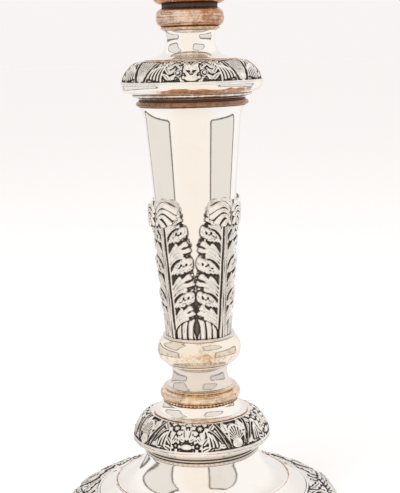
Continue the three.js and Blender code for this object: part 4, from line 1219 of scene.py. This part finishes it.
def leaf_relief(x, s, share, edge):
    """Height of the carved face over the sheet: fingers and cushions either side of a ribbed stem."""
    side = np.abs(x)
    w = s + VEIN_RISE * (np.exp(-side / VEIN_REACH) - np.exp(-edge / VEIN_REACH))
    crumple = (np.sin(2.5 * x + 1.7 * np.sin(0.9 * s)) * np.sin(2.8 * w + 1.3 * np.sin(1.1 * x))
               + 0.6 * np.sin(4.1 * w - 1.9 * x + 0.8))
    relief = np.full_like(x, 0.12)
    for low, high, _, cushion in LOBES:
        if cushion:
            piece = cushion_relief(side, w, edge, low, high - low)
            piece = piece + 0.13 * crumple * (piece > 0.8)
        else:
            piece = fan_relief(side, w, edge, low, high - low)
            piece = piece + 0.12 * crumple * np.clip(3 * share - 1.5, 0, 1) * (piece > 0.5)
        relief = np.maximum(relief, piece)
    # a low web joins the fingers, and a bank lies along the stem, so the leaf stays one sheet
    web = 0.32 + 0.12 * crumple * (share > 0.5)
    bank = 1.55 * np.exp(-((side - np.interp(s, STEM_HEIGHTS, BANK_OUT)) / 0.9) ** 2)
    foot_line = LOBES[0][0]
    relief = np.maximum(relief, np.maximum(web, bank) * (w > foot_line))
    # reeded stems at the foot, bending out towards the neighbouring leaf
    bent = side - 1.6 * (np.clip(s, 0, 12) / 10) ** 2 * share - 2.0
    reed = np.abs(np.sin(math.pi * bent / REED_PITCH)) ** 0.55
    reed = reed - 0.35 * np.exp(-((bent / REED_PITCH - 0.5) % 1) ** 2 / 0.01)
    head = dome(np.clip(w - foot_line + 2.6, 0, None) / 2.6)
    relief = np.where(w < foot_line, (1.35 * reed + 0.1) * (0.1 + 0.9 * head), relief)
    relief = relief * (0.35 + 0.65 * dome(np.clip(share - 0.86, 0, 1) / 0.145))
    # stem: two cords with a line between them, widest at the foot
    near = side / np.interp(s, STEM_HEIGHTS, STEM_HALF_W)
    gutter = np.exp(-((near - 1.04) / 0.12) ** 2)
    stem = STEM_TOP * (0.62 + 0.38 * dome((near - 0.42) / 0.42))
    return np.where(near < 0.97, stem, relief * (1 - 0.45 * gutter))


def hood_relief(x, drop):
    """Height of the turned-over tip's outer face: locks of leaf curling over each half."""
    locks = (
        ((1.3, 4.4), (3.6, -1.8), (9.6, 4.6), 0.9, 1.55, 1.25),
        ((1.5, 6.8), (4.4, 0.9), (8.9, 7.4), 0.9, 1.6, 1.45),
        ((1.7, 9.2), (4.2, 3.6), (7.2, 10.2), 0.8, 1.55, 1.6),
        ((1.2, 10.9), (2.6, 7.0), (4.4, 11.4), 0.8, 1.35, 1.55),
        ((9.4, 6.8), (9.6, 9.0), (8.0, 11.0), 0.9, 1.2, 1.15),
    )
    relief = np.full_like(x, 0.25)
    for *path, start, end, top in locks:
        relief = np.maximum(relief, finger(x, drop, path, start, end, top, 0.22))
    return relief * (1 - 0.85 * np.exp(-(x / 0.7) ** 2))


def leaf_sheet(foot_z):
    """The leaf's middle surface, the same for each leaf: a sheet that climbs, rolls out and drops.

    Gives angle from the leaf's middle, radius and height up the leaf for each point, with the
    height climbed, the length gone over the tip, the tip's arc, the leaf's half angle, and each
    row's share of the way over.
    """
    u = np.linspace(0, 1, LEAF_ROWS)[:, None]
    t = np.linspace(-1, 1, LEAF_COLUMNS + 1)[None, :]
    over = np.clip((u - HOOD_FROM) / (1 - HOOD_FROM), 0, 1)
    radius = CURL_R * (1 - 0.62 * t * t)
    side = np.abs(t) * math.radians(HOOD_DEGREES) * (column_radius(foot_z + LEAF_TOP) + 3)
    past_lobe = np.clip(side - HOOD_LOBE, 0, None)
    round_off = HOOD_LOBE - np.sqrt(np.clip(HOOD_LOBE**2 - past_lobe**2, 0.6, None))
    round_in = 1.1 * np.exp(-(side / 1.3) ** 2)
    turn_at = LEAF_TOP - round_off - 0.5 * round_in - radius
    scallops = 0.9 * np.abs(np.sin(1.25 * side + 0.4)) - 1.3 * np.clip(side / 9 - 0.55, 0, 1)
    drop = turn_at - (LEAF_TOP - 2.25 * HOOD_LOBE + round_off - 1.6 * round_in) + scallops
    arc = math.pi * radius
    gone = over * (arc + drop)
    rolled = np.clip(gone / radius, 0, math.pi)
    fallen = np.clip(gone - arc, 0, None)
    climbed = np.clip(u / HOOD_FROM, 0, 1) * turn_at
    s = climbed + radius * np.sin(rolled) - fallen
    half = np.radians(leaf_half_angle(np.where(over > 0, LEAF_TOP, climbed)))
    angle = t * half * (1 - 0.16 * np.clip((gone - arc) / 8.0, 0, 1) ** 1.5)
    sheet_r = column_radius(foot_z + s) + LEAF_SEAT + LEAF_T + radius * (1 - np.cos(rolled)) + 0.12 * fallen
    return angle, sheet_r, s, climbed, gone, arc, half, over


def closed_sheet(rows, columns):
    """Quads of a sheet's two sides, given one after the other, and of the edge between them."""
    index = np.arange(rows * columns).reshape(rows, columns)
    quads = np.stack([index[:-1, :-1], index[:-1, 1:], index[1:, 1:], index[1:, :-1]], -1).reshape(-1, 4)
    shift = rows * columns
    rim = np.concatenate([index[0, :], index[1:, -1], index[-1, -2::-1], index[-2:0:-1, 0]])
    after = np.roll(rim, -1)
    return np.vstack([quads, quads[:, ::-1] + shift, np.stack([after, rim, rim + shift, after + shift], -1)])


def build_leaves():
    foot_z = span("acanthus_leaf_1")[0]
    angle, sheet_r, s, climbed, gone, arc, half, over = leaf_sheet(foot_z)
    share = np.abs(np.linspace(-1, 1, LEAF_COLUMNS + 1))[None, :] + 0 * s
    x = angle * sheet_r
    climbing = np.clip((0.35 - over) / 0.25, 0, 1)
    carved = leaf_relief(x, climbed, share, np.abs(half * sheet_r))
    curled = hood_relief(np.abs(x), LEAF_TOP - s) * (1 - climbing)
    tip = curled * np.clip((gone - 0.3 * arc) / (0.3 * arc), 0, 1)
    # the hollows of the curled tip are darkened both for tarnish and as painted shade
    wide_tip = spread(tip, LEAF_SHADE, False)
    dark_tip = np.clip((wide_tip - tip) / 0.38, 0, 1)
    uv = np.stack([x, climbed + gone], -1).reshape(-1, 2)
    for leaf in range(4):
        way = math.radians(45 + 90 * leaf) + LEAF_TURN + angle
        phase = rng.uniform(0, 2 * math.pi)
        points = np.stack([sheet_r * np.cos(way), sheet_r * np.sin(way), foot_z + s], -1)
        normal = np.cross(np.gradient(points, axis=1), np.gradient(points, axis=0))
        normal /= np.maximum(np.linalg.norm(normal, axis=-1, keepdims=True), 1e-9)
        face = spread(carved * (1 + 0.06 * np.sin(0.8 * x + 0.35 * s + phase)) * climbing, 0.7, False)
        if leaf == 0:
            wide_face = spread(face, LEAF_SHADE, False)
        # painted shade: the sides of fingers and cushions are darkened by their steepness, and hollows and
        # low ground are darkened both for tarnish and as painted shade
        deep = np.clip((0.34 - face) / 0.34, 0, 1) * climbing
        dark = np.clip((wide_face - face) / 0.5, 0, 1) + deep * 0.6
        steep = np.hypot(*np.gradient(face, 0.27, 0.22)) * climbing
        dark = np.clip(0.85 * dark + 0.42 * np.clip(steep - 0.4, 0, 1.2), 0, 1)
        stand = np.clip((face - wide_face) / 0.6, 0, 1) * 0.2
        front = points + normal * (LEAF_T + face)[..., None]
        back = points - normal * (LEAF_T + tip)[..., None]
        layers = {
            "oxide_and_shade": np.concatenate([dark.ravel(), dark_tip.ravel()]),
            "bleed": np.concatenate([stand.ravel(), 0 * stand.ravel()]),
        }
        name = f"acanthus_leaf_{leaf + 1}"
        vertices = np.vstack([front.reshape(-1, 3), back.reshape(-1, 3)]) * MM
        obj = mesh_object(name, vertices, closed_sheet(*s.shape), layers, None, np.vstack([uv, uv]))
        finished(obj, "chased", "candlestick", name)




# ---------------------------------------------------------------- studio
PAPER = (0.97, 0.97, 0.97)
ROOM_LIGHT = (0.968, 0.933, 0.924)
FAR_WHITE = (0.939, 0.905, 0.896)
FRONT_LIGHT = (1.04, 0.965, 0.885)
BACK_LIGHT = (1.06, 1.03, 1.01)
FAR_LIGHT = (0.92, 0.89, 0.87)
LOW_LIGHT = (0.8, 0.78, 0.75)
PANEL_LIGHT = (0.88, 0.84, 0.79)
PANEL_DARK = (0.06, 0.05, 0.045)
PANEL_EDGE = 2.6  # half the width of a panel's dark edge, in degrees
# the tent's grey panels in degrees: least and greatest turn from the front, least and greatest
# height, corner radius
PANELS = (
    (-146, -58, -21, 4, 7),
    (44, 117, -21, 4, 7),
    (-126, -64, 15, 64, 10),
    (14, 72, 25, 66, 10),
)
FLOOR_SIDE = 30.0
KEY_PLACE, KEY_TARGET = (-0.5, -0.7, 1.3), (0, 0, 0.12)


def build_camera():
    data = bpy.data.cameras.new("camera")
    data.lens = LENS_MM
    camera = bpy.data.objects.new("camera", data)
    bpy.context.scene.collection.objects.link(camera)
    turn = Matrix.Rotation(math.pi / 2 - CAMERA_PITCH, 4, "X") @ Matrix.Rotation(CAMERA_ROLL, 4, "Z")
    camera.matrix_world = Matrix.Translation((CAMERA_X, CAMERA_Y, CAMERA_Z)) @ turn
    bpy.context.scene.camera = camera


def build_floor():
    corners = [(x * FLOOR_SIDE, y * FLOOR_SIDE, 0) for x, y in ((-1, -1), (1, -1), (1, 1), (-1, 1))]
    mesh = bpy.data.meshes.new("floor")
    mesh.from_pydata(corners, [], [(0, 1, 2, 3)])
    floor = bpy.data.objects.new("floor", mesh)
    bpy.context.scene.collection.objects.link(floor)
    paper = bpy.data.materials.new("paper_sweep")
    paper.use_nodes = True
    shader = paper.node_tree.nodes["Principled BSDF"]
    shader.inputs["Base Color"].default_value = (*PAPER, 1)
    shader.inputs["Roughness"].default_value = 0.9
    shader.inputs["Specular IOR Level"].default_value = 0.1
    mesh.materials.append(paper)
    floor.visible_glossy = False


def panel_distance(t, places, low_and_high, corner):
    """Signed distance, in radians, to a round-cornered patch of the tent."""
    r = math.radians(corner)
    over = []
    for value, (low, high) in zip(places, low_and_high):
        mid, half = math.radians(low + high) / 2, math.radians(high - low) / 2
        over.append(t.maths("SUBTRACT", t.maths("ABSOLUTE", t.maths("SUBTRACT", value, mid)), half - r))
    squares = [t.maths("POWER", t.maths("MAXIMUM", o, 0.0), 2.0) for o in over]
    inner = t.maths("MINIMUM", t.maths("MAXIMUM", *over), 0.0)
    return t.maths("SUBTRACT", t.maths("ADD", t.maths("SQRT", t.maths("ADD", *squares)), inner), r)


def build_tent():
    """A white tent: warm in front, whiter behind, with grey dark-edged panels to each side."""
    world = bpy.data.worlds.new("tent")
    world.use_nodes = True
    bpy.context.scene.world = world
    t = Nodes(world.node_tree)
    parts = t.node("ShaderNodeSeparateXYZ")
    t.link(t.node("ShaderNodeTexCoord").outputs["Generated"], parts.inputs[0])
    x, y, z = parts.outputs
    turn = t.maths("ARCTAN2", x, t.maths("MULTIPLY", y, -1.0))
    from_front = t.maths("ABSOLUTE", turn)
    up = t.maths("ARCSINE", z)

    def blend(value, low, high, share_low=0.0, share_high=1.0):
        return t.between(value, math.radians(low), math.radians(high), share_low, share_high)

    light = t.mix(blend(from_front, 30, 75), FRONT_LIGHT, BACK_LIGHT)
    light = t.mix(blend(from_front, 135, 160), light, FAR_LIGHT)
    light = t.mix(blend(up, -60, -20, 0.25, 0.0), light, LOW_LIGHT)
    for left, right, bottom, top, corner in PANELS:
        distance = panel_distance(t, (turn, up), ((left, right), (bottom, top)), corner)
        light = t.mix(blend(distance, 0.6, -0.6), light, PANEL_LIGHT)
        rim = blend(t.maths("ABSOLUTE", distance), PANEL_EDGE, 0.4 * PANEL_EDGE)
        light = t.mix(t.maths("MULTIPLY", rim, 0.85), light, PANEL_DARK)
    rays = t.node("ShaderNodeLightPath").outputs
    light = t.mix(rays["Is Diffuse Ray"], light, ROOM_LIGHT)
    background = t.node("ShaderNodeBackground")
    t.link(t.mix(rays["Is Camera Ray"], light, FAR_WHITE), background.inputs["Color"])
    output = t.node("ShaderNodeOutputWorld")
    t.link(background.outputs[0], output.inputs["Surface"])


def build_key():
    """A soft lamp over the left shoulder of the camera, unseen in reflections."""
    key = bpy.data.lights.new("soft_key", "AREA")
    key.shape = "DISK"
    key.size = 0.9
    key.energy = 9.0
    key.color = (1.0, 0.97, 0.93)
    lamp = bpy.data.objects.new("soft_key", key)
    bpy.context.scene.collection.objects.link(lamp)
    lamp.visible_glossy = False
    lamp.location = KEY_PLACE
    lamp.rotation_euler = (Vector(KEY_TARGET) - lamp.location).to_track_quat("-Z", "Y").to_euler()


build_foot()
build_mouldings()
build_column()
build_capital()
build_neck()
build_socket()
build_nozzle()
build_inside()
build_shoulder_border()
build_lower_border()
build_base_border()
build_nozzle_border()
build_leaves()
build_camera()
build_floor()
build_tent()
build_key()
bpy.context.scene.view_settings.view_transform = "Standard"
